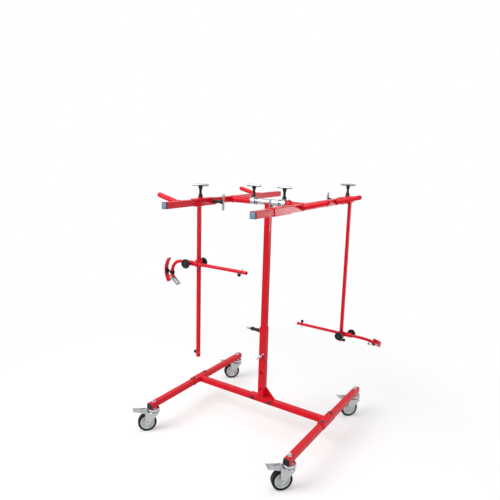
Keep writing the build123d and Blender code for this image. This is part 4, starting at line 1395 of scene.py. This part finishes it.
@dataclass
class Caster:
    """Smooth wheel, axle washers and pressed brake pedal of one caster."""

    corner: str
    wheel_radius: float = 40.0
    tyre_half: float = 12.5
    rim_radius: float = 31.0
    leg_face: float = 18.5
    washer_span: Pair = (4.2, 8.6)
    pedal_heel: float = -3.5
    pedal_tip: float = 58.0
    pedal_under: float = 3.4
    pedal_wall: float = 2.2
    pedal_half: float = 15.4
    tread_half: float = 19.0
    tread_start: float = 26.0
    lip_rise: float = 4.5
    pedal_tilt: float = 5.0
    pedal_corner: float = 7.0
    widen_run: float = 8.0
    lip_run: float = 14.0
    tread_cuts: int = 23
    tread_edge: float = 0.5
    block_size: Triple = (25.0, 23.0, 6.2)
    block_middle: float = 16.5
    block_lift: float = 1.9
    block_edge: float = 1.8
    ridge_places: Pair = (35.5, 41.0)
    ridge_radius: float = 1.1
    ridge_length: float = 24.0
    ridge_edge: float = 0.6
    mark_places: Triple = (10.0, 16.5, 23.0)
    mark_size: Triple = (15.0, 2.8, 0.7)
    mark_turn: float = 62.0
    mark_lift: float = 4.9
    mark_edge: float = 0.3
    skirt_end: float = 29.0
    skirt_edge: float = 0.4
    shoe_size: Pair = (8.0, 16.0)
    shoe_edge: float = 0.8
    shoe_middle: float = 12.0
    shoe_low: float = -8.94

    def build(self, shop: Workshop) -> None:
        """Builds the caster's pieces.

        Args:
            shop: Workshop that adds the pieces.
        """
        across = shop.axis(f"{self.corner}_roll")
        wheel = standing(shop.place(f"{self.corner}_roll"), across, Z_WAY)
        fork, rolling, pedal = (f"{self.corner}_{part}" for part in ("fork", "wheel", "pedal"))
        tyre, hub = (f"{self.corner}_{part}" for part in ("tyre", "hub"))
        shop.add(moved(self._tyre(), wheel), f"{self.corner}_tread", Slot.TYRE, rolling, tyre)
        shop.add(moved(self._hub(), wheel), f"{self.corner}_centre", Slot.HUB_GREY, rolling, hub)
        washers = [moved(self._washer(), wheel @ Matrix.Rotation(turn, 4, "X")) for turn in (0.0, math.pi)]
        shop.add(joined(*washers), f"{self.corner}_axle_washers", Slot.ZINC, fork)
        trail = across.cross(Z_WAY)
        frame = standing(shop.place(f"{self.corner}_brake"), Z_WAY, trail)
        frame = frame @ Matrix.Rotation(math.radians(-self.pedal_tilt), 4, "Y")
        shop.add(moved(self._pedal(), frame), f"{self.corner}_pressing", Slot.ZINC, pedal, pedal)
        shop.add(moved(self._marks(), frame), f"{self.corner}_pedal_marks", Slot.BLACK_PLASTIC, pedal)

    def _tyre(self) -> Shape:
        """Tyre with square shoulders and a fine moulding line.

        Returns:
            The new bmesh, in metres.
        """
        rim, outer, half = self.rim_radius + 0.05, self.wheel_radius, self.tyre_half
        side = [(rim, half - 1.2), (rim + 0.3, half - 0.5), (rim + 1.0, half - 0.1), (rim + 1.8, half)]
        side += [(outer - 3.0, half), (outer - 1.9, half - 0.25), (outer - 0.9, half - 0.9)]
        side += [(outer - 0.25, half - 1.9), (outer, half - 3.0), (outer, 0.7), (outer - 0.25, 0.35)]
        return spun(mirrored(side), steps=WHEEL_STEPS)

    def _hub(self) -> Shape:
        """Dished wheel centre with a rolled rim and a stepped core.

        Returns:
            The new bmesh, in metres.
        """
        rim, half = self.rim_radius, self.tyre_half - 1.0
        side = [(4.08, 15.5), (9.4, 15.5), (10.4, 15.2), (11.0, 14.4), (11.2, 9.0), (11.8, 5.6), (13.2, 3.9)]
        side += [(15.0, 3.2), (20.0, 3.0), (22.4, 3.4), (24.0, 4.6), (25.0, 6.6), (25.8, half - 1.6)]
        side += [(26.3, half - 0.4), (27.0, half), (29.4, half), (30.2, half - 0.3), (rim, half - 0.9)]
        return spun(mirrored(side), steps=WHEEL_STEPS)

    def _washer(self) -> Shape:
        """Washer on one end of the axle, along Z from the fork's leg.

        Returns:
            The new bmesh, in metres.
        """
        face, (bore, rim) = self.leg_face, self.washer_span
        profile = [(bore, face), (rim, face), (rim, face + 0.9), (rim - 0.4, face + 1.3)]
        return spun(profile + [(bore, face + 1.3)])

    def _pedal(self) -> Shape:
        """Pedal about its pin: tread plate, raised block, ridges, turned-up tip, skirts and shoe.

        Returns:
            The new bmesh, in metres.
        """
        heel, under, wall = self.pedal_heel, self.pedal_under, self.pedal_wall
        top, half = under + wall, self.pedal_half
        raised = pillow(self.block_size, (self.block_middle, 0, top + self.block_lift), self.block_edge)
        pieces = [self._tread(), raised]
        for x in self.ridge_places:
            ridge = round_bar(self.ridge_radius, self.ridge_length, self.ridge_edge)
            pieces.append(moved(ridge, shift(x, 0, top) @ Matrix.Rotation(QUARTER_TURN, 4, "Z")))
        skirt = [(heel + 2.0, under - 1.7, 2.0), (self.skirt_end, under - 1.7, 2.0), (0.0, 0.0, 6.0)]
        pieces += [hull_plate(skirt, wall, y, self.skirt_edge) for y in (wall / 2 - half, half - wall / 2)]
        shoe_height = under + 0.3 - self.shoe_low
        shoe_place = (self.shoe_middle, 0, self.shoe_low + shoe_height / 2)
        pieces.append(pillow((*self.shoe_size, shoe_height), shoe_place, self.shoe_edge))
        return joined(*pieces)

    def _tread(self) -> Shape:
        """Tread plate that widens past the fork and turns up at its tip.

        Returns:
            The new bmesh, in metres.
        """
        heel, tip, wall = self.pedal_heel, self.pedal_tip, self.pedal_wall
        middle = ((tip + heel) / 2, 0, self.pedal_under + wall / 2)
        plate = block((tip - heel, 2 * self.pedal_half, wall), middle)
        runs = edges_along(plate, X_WAY)
        bmesh.ops.subdivide_edges(plate, edges=runs, cuts=self.tread_cuts, use_grid_fill=True)
        gain = self.tread_half / self.pedal_half - 1.0
        for spot in plate.verts:
            x = spot.co.x / MM
            wide = min(1.0, max(0.0, (x - self.tread_start + self.widen_run) / self.widen_run))
            spot.co.y *= 1.0 + gain * wide * wide * (3.0 - 2.0 * wide)
            spot.co.z += self.lip_rise * MM * max(0.0, (x - tip + self.lip_run) / self.lip_run) ** 2
        plate.normal_update()
        corners = [line for line in edges_along(plate, Z_WAY) if line.verts[0].co.x > (tip - 1.0) * MM]
        soften(plate, corners, self.pedal_corner, 6)
        return soften(plate, sharp_edges(plate), self.tread_edge, 2)

    def _marks(self) -> Shape:
        """Dark bars let into the raised block.

        Returns:
            The new bmesh, in metres.
        """
        height = self.pedal_under + self.pedal_wall + self.mark_lift
        bars = []
        for x in self.mark_places:
            place = shift(x, 0, height) @ Matrix.Rotation(math.radians(self.mark_turn), 4, "Z")
            bars.append(moved(pillow(self.mark_size, (0, 0, 0), self.mark_edge), place))
        return joined(*bars)


# Grippers


@dataclass
class Gripper:
    """Rubber boot and pads, plated lever and pin heads of one gripper."""

    side: Side
    arm_x: float = 56.0
    pad_height: float = -54.0
    arm_face: float = 65.5
    arm_pad: Pair = (8.4, 6.6)
    jaw_face: float = 82.5
    jaw_pad: Pair = (10.3, 5.9)
    pad_face: float = 0.8
    pad_groove: float = 0.25
    pad_rings: Pair = (2.6, 5.4)
    boot_bore: float = 7.05
    boot_radius: float = 9.6
    lever_y: float = 8.85
    lever_wall: float = 2.5
    lever_reach: float = 42.0
    lever_heading: float = 217.0
    lever_eye: float = 6.0
    lever_tip: float = 4.5
    cheek_edge: float = 0.6
    grip_gain: float = 0.3
    grip_edge: float = 0.8
    pin_seat: float = 10.42
    pin_head: float = 4.9

    def build(self, shop: Workshop) -> None:
        """Builds the boot, the pads, the pin heads and the lever.

        Args:
            shop: Workshop that adds the pieces.
        """
        word = self.side.word
        outward = X_WAY * self.side.value
        across = shop.axis(f"{word}_jaw_open")
        turn = Matrix((outward, across, outward.cross(across))).transposed().to_4x4()
        arm = Matrix.Translation(shop.place(f"{word}_gripper_roll")) @ turn
        pivot = Matrix.Translation(shop.place(f"{word}_jaw_open")) @ turn
        quarter = Matrix.Rotation(QUARTER_TURN, 4, "Y")
        boot = moved(self._boot(), arm @ shift(self.arm_x, 0, self.pad_height))
        front = arm @ shift(self.arm_face, 0, self.pad_height) @ quarter
        nose = moved(self._pad(*self.arm_pad), front)
        back = arm @ shift(self.jaw_face, 0, self.pad_height) @ quarter.inverted()
        carrier, lever = f"{word}_gripper_arm", f"{word}_lever"
        shop.add(joined(boot, nose), f"{word}_arm_boot", Slot.TYRE, carrier)
        shop.add(moved(self._pad(*self.jaw_pad), back), f"{word}_jaw_pad", Slot.TYRE, f"{word}_jaw")
        shop.add(moved(self._lever(), pivot), f"{word}_lever_bow", Slot.CHROME, lever, lever)
        shop.add(moved(self._pin_heads(), pivot), f"{word}_pivot_heads", Slot.ZINC, carrier)

    def _boot(self) -> Shape:
        """Rubber sleeve round the arm, with two bands.

        Returns:
            The new bmesh, in metres.
        """
        bore, rim = self.boot_bore, self.boot_radius
        profile = [(bore, 5.5), (rim - 1.0, 5.5), (rim - 0.2, 4.9), (rim, 3.6), (rim, 1.2), (rim - 0.4, 0.7)]
        profile += [(rim - 0.4, -0.7), (rim, -1.2), (rim, -6.6), (rim - 0.4, -7.6), (rim - 1.2, -8.0)]
        return spun(profile + [(bore, -8.0)])

    def _pad(self, radius: float, depth: float) -> Shape:
        """Ringed round pad with its face just above zero and its back below.

        Args:
            radius: Radius in millimetres.
            depth: Depth behind the face in millimetres.

        Returns:
            The new bmesh.
        """
        face, low = self.pad_face, self.pad_groove
        profile = [(0.0, -depth), (radius, -depth), (radius, low), (radius - 0.5, face - 0.1)]
        profile += [(radius - 1.5, face)]
        for step in self.pad_rings:
            ring = radius - step
            profile += [(ring, face), (ring - 0.4, low), (ring - 1.0, low), (ring - 1.4, face)]
        return spun(profile + [(0.0, face)])

    def _pin_heads(self) -> Shape:
        """Domed heads on both ends of the pivot pin.

        Returns:
            The new bmesh, in metres.
        """
        seat, head = self.pin_seat, self.pin_head
        profile = [(0.0, seat), (head, seat), (head, seat + 2.1), (head - 0.5, seat + 2.6)]
        profile += [(head - 1.7, seat + 2.9), (0.0, seat + 3.0)]
        ends = (Matrix.Rotation(turn, 4, "X") for turn in (QUARTER_TURN, -QUARTER_TURN))
        return joined(*(moved(spun(profile), end) for end in ends))

    def _lever(self) -> Shape:
        """Two cheeks on the pivot, joined by a round grip.

        Returns:
            The new bmesh, in metres.
        """
        turn = math.radians(self.lever_heading)
        tip_x, tip_z = self.lever_reach * math.cos(turn), self.lever_reach * math.sin(turn)
        outline = [(0.0, 0.0, self.lever_eye), (tip_x, tip_z, self.lever_tip)]
        faces = (-self.lever_y, self.lever_y)
        cheeks = [hull_plate(outline, self.lever_wall, y, self.cheek_edge) for y in faces]
        grip = round_bar(self.lever_tip + self.grip_gain, 2 * self.lever_y, self.grip_edge)
        place = shift(tip_x, 0, tip_z) @ Matrix.Rotation(QUARTER_TURN, 4, "Z")
        return joined(*cheeks, moved(grip, place))


# Seams and small fittings


@dataclass
class Seams:
    """Weld seams of the stand, at the places where its tubes meet."""

    layout: Layout = LAYOUT
    horn_places: dict[Side, Pair] = field(
        default_factory=lambda: {Side.LEFT: (325.0, -250.0), Side.RIGHT: (230.0, -90.0)}
    )
    slider_places: dict[Side, float] = field(default_factory=lambda: {Side.LEFT: 191.0, Side.RIGHT: 360.0})
    shaft_seams: dict[Side, float] = field(default_factory=lambda: {Side.LEFT: 14.2, Side.RIGHT: 10.4})
    cross_end: float = 322.5
    cross_inset: float = 3.0
    gusset_faces: Pair = (9.0, 13.0)
    gusset_rise: float = 39.0
    gusset_run: float = 40.0
    horn_root: float = 12.2
    horn_lift: float = 0.9
    drop_span: Pair = (14.0, -15.0)
    drop_gap: float = 0.2
    mast_steps: int = 5
    spare_place: float = -243.0
    top_lock: float = 20.0
    side_lock: float = 43.0
    boss: float = 9.0
    drop_half: float = 7.0
    mast_half: float = 15.0
    mast_lock: float = 438.0
    bearing: float = 13.7

    def build(self, shop: Workshop) -> None:
        """Lays every seam.

        Args:
            shop: Workshop that adds the pieces.
        """
        self._base(shop)
        self._mast(shop)
        for side in Side:
            self._carrier(shop, side)
            self._slider(shop, side)
        book = WeldBook()
        self._side_boss(book, Side.RIGHT, self.spare_place + self.side_lock)
        book.finish(shop, "spare_slider_seam", "spare_slider")

    def _base(self, shop: Workshop) -> None:
        """Seams of the cross tube, the mast's foot, its gusset and its weld nut.

        Args:
            shop: Workshop that adds the piece.
        """
        book = WeldBook()
        middle, half, deck = self.layout.base_y, self.layout.tube / 2, self.layout.deck
        low, high = self.layout.rail_bottom + self.cross_inset, deck - self.cross_inset
        front, back = middle - half, middle + half
        for x in (-self.cross_end, self.cross_end):
            book.along((x, front, low), (x, front, high), (x, back, high), (x, back, low))
        left, right = self.layout.mast_x - self.mast_half, self.layout.mast_x + self.mast_half
        near, far = middle - self.mast_half, middle + self.mast_half
        foot = [(left, near, deck), (right, near, deck), (right, far, deck), (left, far, deck)]
        book.along(*foot, foot[0])
        peak, toe = deck + self.gusset_rise, right + self.gusset_run
        for face in self.gusset_faces:
            y = middle + face
            book.along((right, y, peak), (right, y, deck), (toe, y, deck))
        book.around(Vector((left, middle, self.mast_lock)), X_WAY, self.boss)
        book.finish(shop, "base_seams", "base")

    def _mast(self, shop: Workshop) -> None:
        """Seam of the inner mast round the bearing tube.

        Args:
            shop: Workshop that adds the piece.
        """
        book = WeldBook()
        half, head = self.layout.tube / 2, self.layout.head
        across, middle = self.layout.mast_x, self.layout.base_y
        count = self.mast_steps
        steps = [half * (step / count - 1) for step in range(2 * count + 1)]
        for x in (across - half, across + half):
            book.along(*((x, middle + y, head - math.sqrt(self.bearing**2 - y**2)) for y in steps))
        low = head - math.sqrt(self.bearing**2 - half**2)
        for y in (middle - half, middle + half):
            book.along((across - half, y, low), (across + half, y, low))
        book.finish(shop, "mast_seam", "mast")

    def _carrier(self, shop: Workshop, side: Side) -> None:
        """Seams of one carrier's shaft and horns.

        Args:
            shop: Workshop that adds the piece.
            side: Side of the carrier.
        """
        book = WeldBook()
        inner = self.layout.bar_reach - self.layout.tube / 2
        outer = self.layout.bar_reach + self.layout.tube / 2
        book.around(self.layout.point(side, inner, 0.0, self.layout.head), X_WAY, self.shaft_seams[side])
        for y in self.horn_places[side]:
            root = self.layout.point(side, outer, y, self.layout.head + self.horn_lift)
            book.around(root, X_WAY, self.horn_root)
        book.finish(shop, f"{side.word}_carrier_seams", f"{side.word}_carrier")

    def _side_boss(self, book: WeldBook, side: Side, y: float) -> None:
        """Seam of the weld nut on a sleeve's inner face."""
        inner = self.layout.bar_reach - self.layout.sleeve / 2
        book.around(self.layout.point(side, inner, y, self.layout.head), X_WAY, self.boss)

    def _slider(self, shop: Workshop, side: Side) -> None:
        """Seams of one drop bar and of its sleeve's weld nuts.

        Args:
            shop: Workshop that adds the piece.
            side: Side of the carrier.
        """
        book = WeldBook()
        place, half, head = self.slider_places[side], self.layout.sleeve / 2, self.layout.head
        face = self.layout.bar_reach + half
        near, far = place - self.drop_half, place + self.drop_half
        for y in (near, far):
            book.along(*(self.layout.point(side, face, y, head + end) for end in self.drop_span))
        low = head - half - self.drop_gap
        book.along(self.layout.point(side, face, near, low), self.layout.point(side, face, far, low))
        top = self.layout.point(side, self.layout.bar_reach, place + self.top_lock, head + half)
        book.around(top, Z_WAY, self.boss)
        self._side_boss(book, side, place - self.side_lock)
        book.finish(shop, f"{side.word}_slider_seams", f"{side.word}_slider")


@dataclass
class BarCaps:
    """End plugs of one carrier bar: black rims with blue grey plates let into them."""

    side: Side
    layout: Layout = LAYOUT
    head: float = 4.0
    plug: float = 16.0
    plug_side: float = 20.9
    plug_edge: float = 1.0
    plate_edge: float = 0.3
    plate_sink: float = 0.4
    corner: float = 2.5
    rounding: float = 0.9
    rim: float = 0.9
    recess: float = 0.7

    def build(self, shop: Workshop) -> None:
        """Builds the rims and the plates.

        Args:
            shop: Workshop that adds the pieces.
        """
        word = self.side.word
        rims, plates = [], []
        for end in (-1, 1):
            along = end * (self.layout.bar_half - self.head)
            seat = self.layout.point(self.side, self.layout.bar_reach, along, self.layout.head)
            place = standing(seat * MM, Y_WAY * (end * self.side.value), Z_WAY)
            size = (self.plug_side, self.plug_side, self.plug)
            plug = pillow(size, (0, 0, -self.plug / 2), self.plug_edge)
            rims += [moved(self._rim(), place), moved(plug, place)]
            plates.append(moved(self._plate(), place))
        body, caps = f"{word}_carrier", f"{word}_carrier_caps"
        shop.add(joined(*rims), f"{word}_plug_rims", Slot.BLACK_PLASTIC, body, caps)
        shop.add(joined(*plates), f"{word}_plug_plates", Slot.GREY_CAP, body)

    def _rim(self) -> Shape:
        """Square plug head with rounded corners and a shallow recess in its face.

        Returns:
            The new bmesh, in metres.
        """
        size = self.layout.tube
        shape = block((size, size, self.head), (0, 0, self.head / 2))
        soften(shape, edges_along(shape, Z_WAY), self.corner, 5)
        soften(shape, top_face(shape).edges[:], self.rounding)
        bmesh.ops.inset_region(
            shape,
            faces=[top_face(shape)],
            thickness=self.rim * MM,
            depth=-self.recess * MM,
            use_even_offset=True,
        )
        return shape

    def _plate(self) -> Shape:
        """Plate that fills the recess, with a soft rim.

        Returns:
            The new bmesh, in metres.
        """
        size = self.layout.tube - 2 * (self.rounding + self.rim)
        wall = self.recess + self.plate_sink
        shape = block((size, size, wall), (0, 0, self.head - self.recess / 2))
        soften(shape, edges_along(shape, Z_WAY), self.corner - self.rounding, 4)
        return soften(shape, top_face(shape).edges[:], self.plate_edge, 2)


@dataclass
class CollarScrew:
    """Black grub screw that holds the right shaft's collar."""

    layout: Layout = LAYOUT
    along: float = 97.0
    collar: float = 14.0
    radius: float = 4.2
    socket: float = 2.1

    def build(self, shop: Workshop) -> None:
        """Builds the screw on top of the collar.

        Args:
            shop: Workshop that adds the piece.
        """
        seat = self.layout.point(Side.RIGHT, self.along, 0.0, self.layout.head + self.collar)
        rim, socket = self.radius, self.socket
        profile = [(0.0, -4.0), (rim, -4.0), (rim, 2.2), (rim - 0.6, 2.9), (socket, 2.9)]
        screw = spun(profile + [(socket - 0.2, 1.0), (0.0, 0.9)])
        shop.add(moved(screw, shift(*seat)), "right_collar_screw", Slot.BLACK_STEEL, "right_carrier")


@dataclass
class Stand:
    """The whole stand's added pieces."""

    shop: Workshop
    corners: tuple[str, ...] = ("front_left", "front_right", "rear_left", "rear_right")
    mast_bar_way: Triple = (0, -0.917, 0.399)
    mast_waist: float = 7.2
    top_handles: tuple[tuple[str, Triple], ...] = (
        ("spindle_lock", (1, 0, 0)),
        ("slider_lock", (0.951, 0.309, 0)),
    )
    side_bar_way: Triple = (0, 0.03, 1)

    def build(self) -> None:
        """Builds every added piece in order."""
        LockHandle("mast_lock", -X_WAY, self.mast_bar_way, self.mast_waist).build(self.shop)
        LockHandle("spare_side_lock", -X_WAY, self.side_bar_way).build(self.shop)
        HeightPin().build(self.shop)
        for side in Side:
            self._side(side)
        CollarScrew().build(self.shop)
        SwivelHeads(self.corners).build(self.shop)
        for corner in self.corners:
            Caster(corner).build(self.shop)
        FrameBolts().build(self.shop)
        Seams().build(self.shop)

    def _side(self, side: Side) -> None:
        """Builds the handles, knobs, pins, gripper pieces and caps of one carrier.

        Args:
            side: Side of the carrier.
        """
        word = side.word
        outward = X_WAY * side.value
        for node, bar_way in self.top_handles:
            LockHandle(f"{word}_{node}", Z_WAY, bar_way).build(self.shop)
        LockHandle(f"{word}_side_lock", -outward, self.side_bar_way).build(self.shop)
        for node in ("drop_knob", "rod_knob"):
            ClampKnob(f"{word}_{node}").build(self.shop)
        drop = box_middle(f"{word}_drop_pin")
        drop.x = (reach_along(f"{word}_slider", outward) - BallPin.through * MM) * side.value
        BallPin(f"{word}_drop_pin").build(self.shop, drop)
        rod = box_middle(f"{word}_rod")
        rod.x = box_middle(f"{word}_rod_pin").x
        BallPin(f"{word}_rod_pin").build(self.shop, rod)
        Gripper(side).build(self.shop)
        BarCaps(side).build(self.shop)


# Studio


@dataclass(frozen=True)
class Lamp:
    """One square area lamp, its side in metres and its power in watts."""

    name: str
    place: Triple
    side: float
    power: float


@dataclass
class Studio:
    """White floor and backdrop, soft lamps and the camera."""

    floor_side: float = 40.0
    floor_colour: Triple = (0.8, 0.8, 0.8)
    floor_roughness: float = 0.8
    floor_specular: float = 0.1
    floor_lift: float = 0.24
    floor_fade: Pair = (0.75, 1.5)
    sky_light: float = 0.42
    room_span: Pair = (0.0, 0.6)
    room_level: Pair = (0.75, 1.0)
    eye: Triple = (1.0726, -1.7927, 1.2071)
    yaw: float = 32.783
    pitch: float = 11.15
    roll: float = 1.616
    focal_pixels: float = 492.1
    camera_far: float = 100.0
    lamps: tuple[Lamp, ...] = (
        Lamp("key_lamp", (-1.6, -2.4, 2.8), 2.6, 100.0),
        Lamp("fill_lamp", (2.6, -0.6, 2.0), 1.6, 10.0),
        Lamp("top_lamp", (0.0, 0.4, 3.4), 2.6, 20.0),
        Lamp("rim_lamp", (1.43, 2.2, 0.70), 0.45, 9.0),
    )
    aim: Triple = (0.0, 0.0, 0.55)

    def build(self) -> None:
        """Builds the floor, the world, the lamps and the camera."""
        self._floor()
        self._world()
        for lamp in self.lamps:
            self._hang(lamp)
        self._camera()
        bpy.context.scene.view_settings.view_transform = "Standard"

    @staticmethod
    def _seen(tree: Tree) -> Socket:
        """Mask of the rays that show a background: to the camera, in gloss and through glass.

        Args:
            tree: Tree that gets the nodes.

        Returns:
            The mask's socket.
        """
        path = add_node(tree, "ShaderNodeLightPath")
        seen = math_node(tree, "MAXIMUM", path.outputs["Is Camera Ray"], path.outputs["Is Glossy Ray"])
        return math_node(tree, "MAXIMUM", seen, path.outputs["Is Transmission Ray"])

    def _floor(self) -> None:
        """Builds the floor, which keeps the shadow near the stand and fades to white further out."""
        shape = bmesh.new()
        bmesh.ops.create_grid(shape, x_segments=1, y_segments=1, size=self.floor_side / 2)
        floor = as_object(shape, "floor")
        made = bpy.data.materials.new("floor_paper")
        made.use_nodes = True
        tree = made.node_tree
        paper = tree.nodes["Principled BSDF"]
        paper.inputs["Base Color"].default_value = (*self.floor_colour, 1)
        paper.inputs["Roughness"].default_value = self.floor_roughness
        paper.inputs["Specular IOR Level"].default_value = self.floor_specular
        seen = self._seen(tree)
        lift = add_node(tree, "ShaderNodeEmission")
        tree.links.new(math_node(tree, "MULTIPLY", seen, self.floor_lift), lift.inputs["Strength"])
        near = add_node(tree, "ShaderNodeAddShader")
        tree.links.new(paper.outputs[0], near.inputs[0])
        tree.links.new(lift.outputs[0], near.inputs[1])
        place = add_node(tree, "ShaderNodeTexCoord")
        length = add_node(tree, "ShaderNodeVectorMath", operation="LENGTH")
        tree.links.new(place.outputs["Object"], length.inputs[0])
        fade = map_range(tree, length.outputs["Value"], self.floor_fade, (0.0, 1.0))
        white = add_node(tree, "ShaderNodeEmission")
        mix = add_node(tree, "ShaderNodeMixShader")
        tree.links.new(math_node(tree, "MULTIPLY", fade, seen), mix.inputs[0])
        tree.links.new(near.outputs[0], mix.inputs[1])
        tree.links.new(white.outputs[0], mix.inputs[2])
        tree.links.new(mix.outputs[0], tree.nodes["Material Output"].inputs["Surface"])
        floor.data.materials.append(made)

    def _world(self) -> None:
        """White backdrop to the camera, a room that brightens overhead in gloss, soft light on the rest."""
        world = bpy.data.worlds.new("studio")
        world.use_nodes = True
        tree = world.node_tree
        tree.nodes.clear()
        light = add_node(tree, "ShaderNodeBackground")
        light.inputs["Strength"].default_value = self.sky_light
        room = add_node(tree, "ShaderNodeBackground")
        for node in (light, room):
            node.inputs["Color"].default_value = (1, 1, 1, 1)
        place = add_node(tree, "ShaderNodeTexCoord")
        height = add_node(tree, "ShaderNodeSeparateXYZ")
        tree.links.new(place.outputs["Generated"], height.inputs["Vector"])
        level = map_range(tree, height.outputs["Z"], self.room_span, self.room_level)
        path = add_node(tree, "ShaderNodeLightPath")
        level = math_node(tree, "MAXIMUM", level, path.outputs["Is Camera Ray"])
        tree.links.new(level, room.inputs["Strength"])
        mix = add_node(tree, "ShaderNodeMixShader")
        sink = add_node(tree, "ShaderNodeOutputWorld")
        tree.links.new(self._seen(tree), mix.inputs[0])
        tree.links.new(light.outputs[0], mix.inputs[1])
        tree.links.new(room.outputs[0], mix.inputs[2])
        tree.links.new(mix.outputs[0], sink.inputs["Surface"])
        bpy.context.scene.world = world

    def _hang(self, lamp: Lamp) -> None:
        """Hangs a lamp that looks at the stand.

        Args:
            lamp: The lamp to hang.
        """
        data = bpy.data.lights.new(lamp.name, "AREA")
        data.shape = "SQUARE"
        data.size = lamp.side
        data.energy = lamp.power
        hung = bpy.data.objects.new(lamp.name, data)
        hung.location = lamp.place
        way = Vector(self.aim) - Vector(lamp.place)
        hung.rotation_euler = way.to_track_quat("-Z", "Y").to_euler()
        bpy.context.scene.collection.objects.link(hung)

    def _camera(self) -> None:
        """Places the camera at the photograph's viewpoint."""
        yaw, pitch, roll = (math.radians(angle) for angle in (self.yaw, self.pitch, self.roll))
        ahead = Vector((-math.sin(yaw) * math.cos(pitch), math.cos(yaw) * math.cos(pitch), -math.sin(pitch)))
        right = Vector((math.cos(yaw), math.sin(yaw), 0.0))
        up = right.cross(ahead)
        turned_right = right * math.cos(roll) + up * math.sin(roll)
        turned_up = up * math.cos(roll) - right * math.sin(roll)
        data = bpy.data.cameras.new("camera")
        data.sensor_width = SENSOR_WIDTH
        data.lens = self.focal_pixels / IMAGE_SIDE * SENSOR_WIDTH
        data.clip_end = self.camera_far
        camera = bpy.data.objects.new("camera", data)
        turn = Matrix((turned_right, turned_up, -ahead)).transposed()
        camera.matrix_world = Matrix.Translation(Vector(self.eye)) @ turn.to_4x4()
        bpy.context.scene.collection.objects.link(camera)
        bpy.context.scene.camera = camera


def clear_start_scene() -> None:
    """Removes what the factory start-up file holds."""
    for name in ("Cube", "Light", "Camera"):
        left = bpy.data.objects.get(name)
        if left is not None:
            bpy.data.objects.remove(left, do_unlink=True)


def main() -> None:
    """Builds the dressed stand."""
    logging.basicConfig(level=logging.INFO, format="%(name)s: %(message)s")
    clear_start_scene()
    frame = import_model()
    book = FinishBook(ShaderGroups())
    book.dress_nodes(frame)
    Stand(Workshop(frame, book)).build()
    Studio().build()


if __name__ == "__main__":
    main()
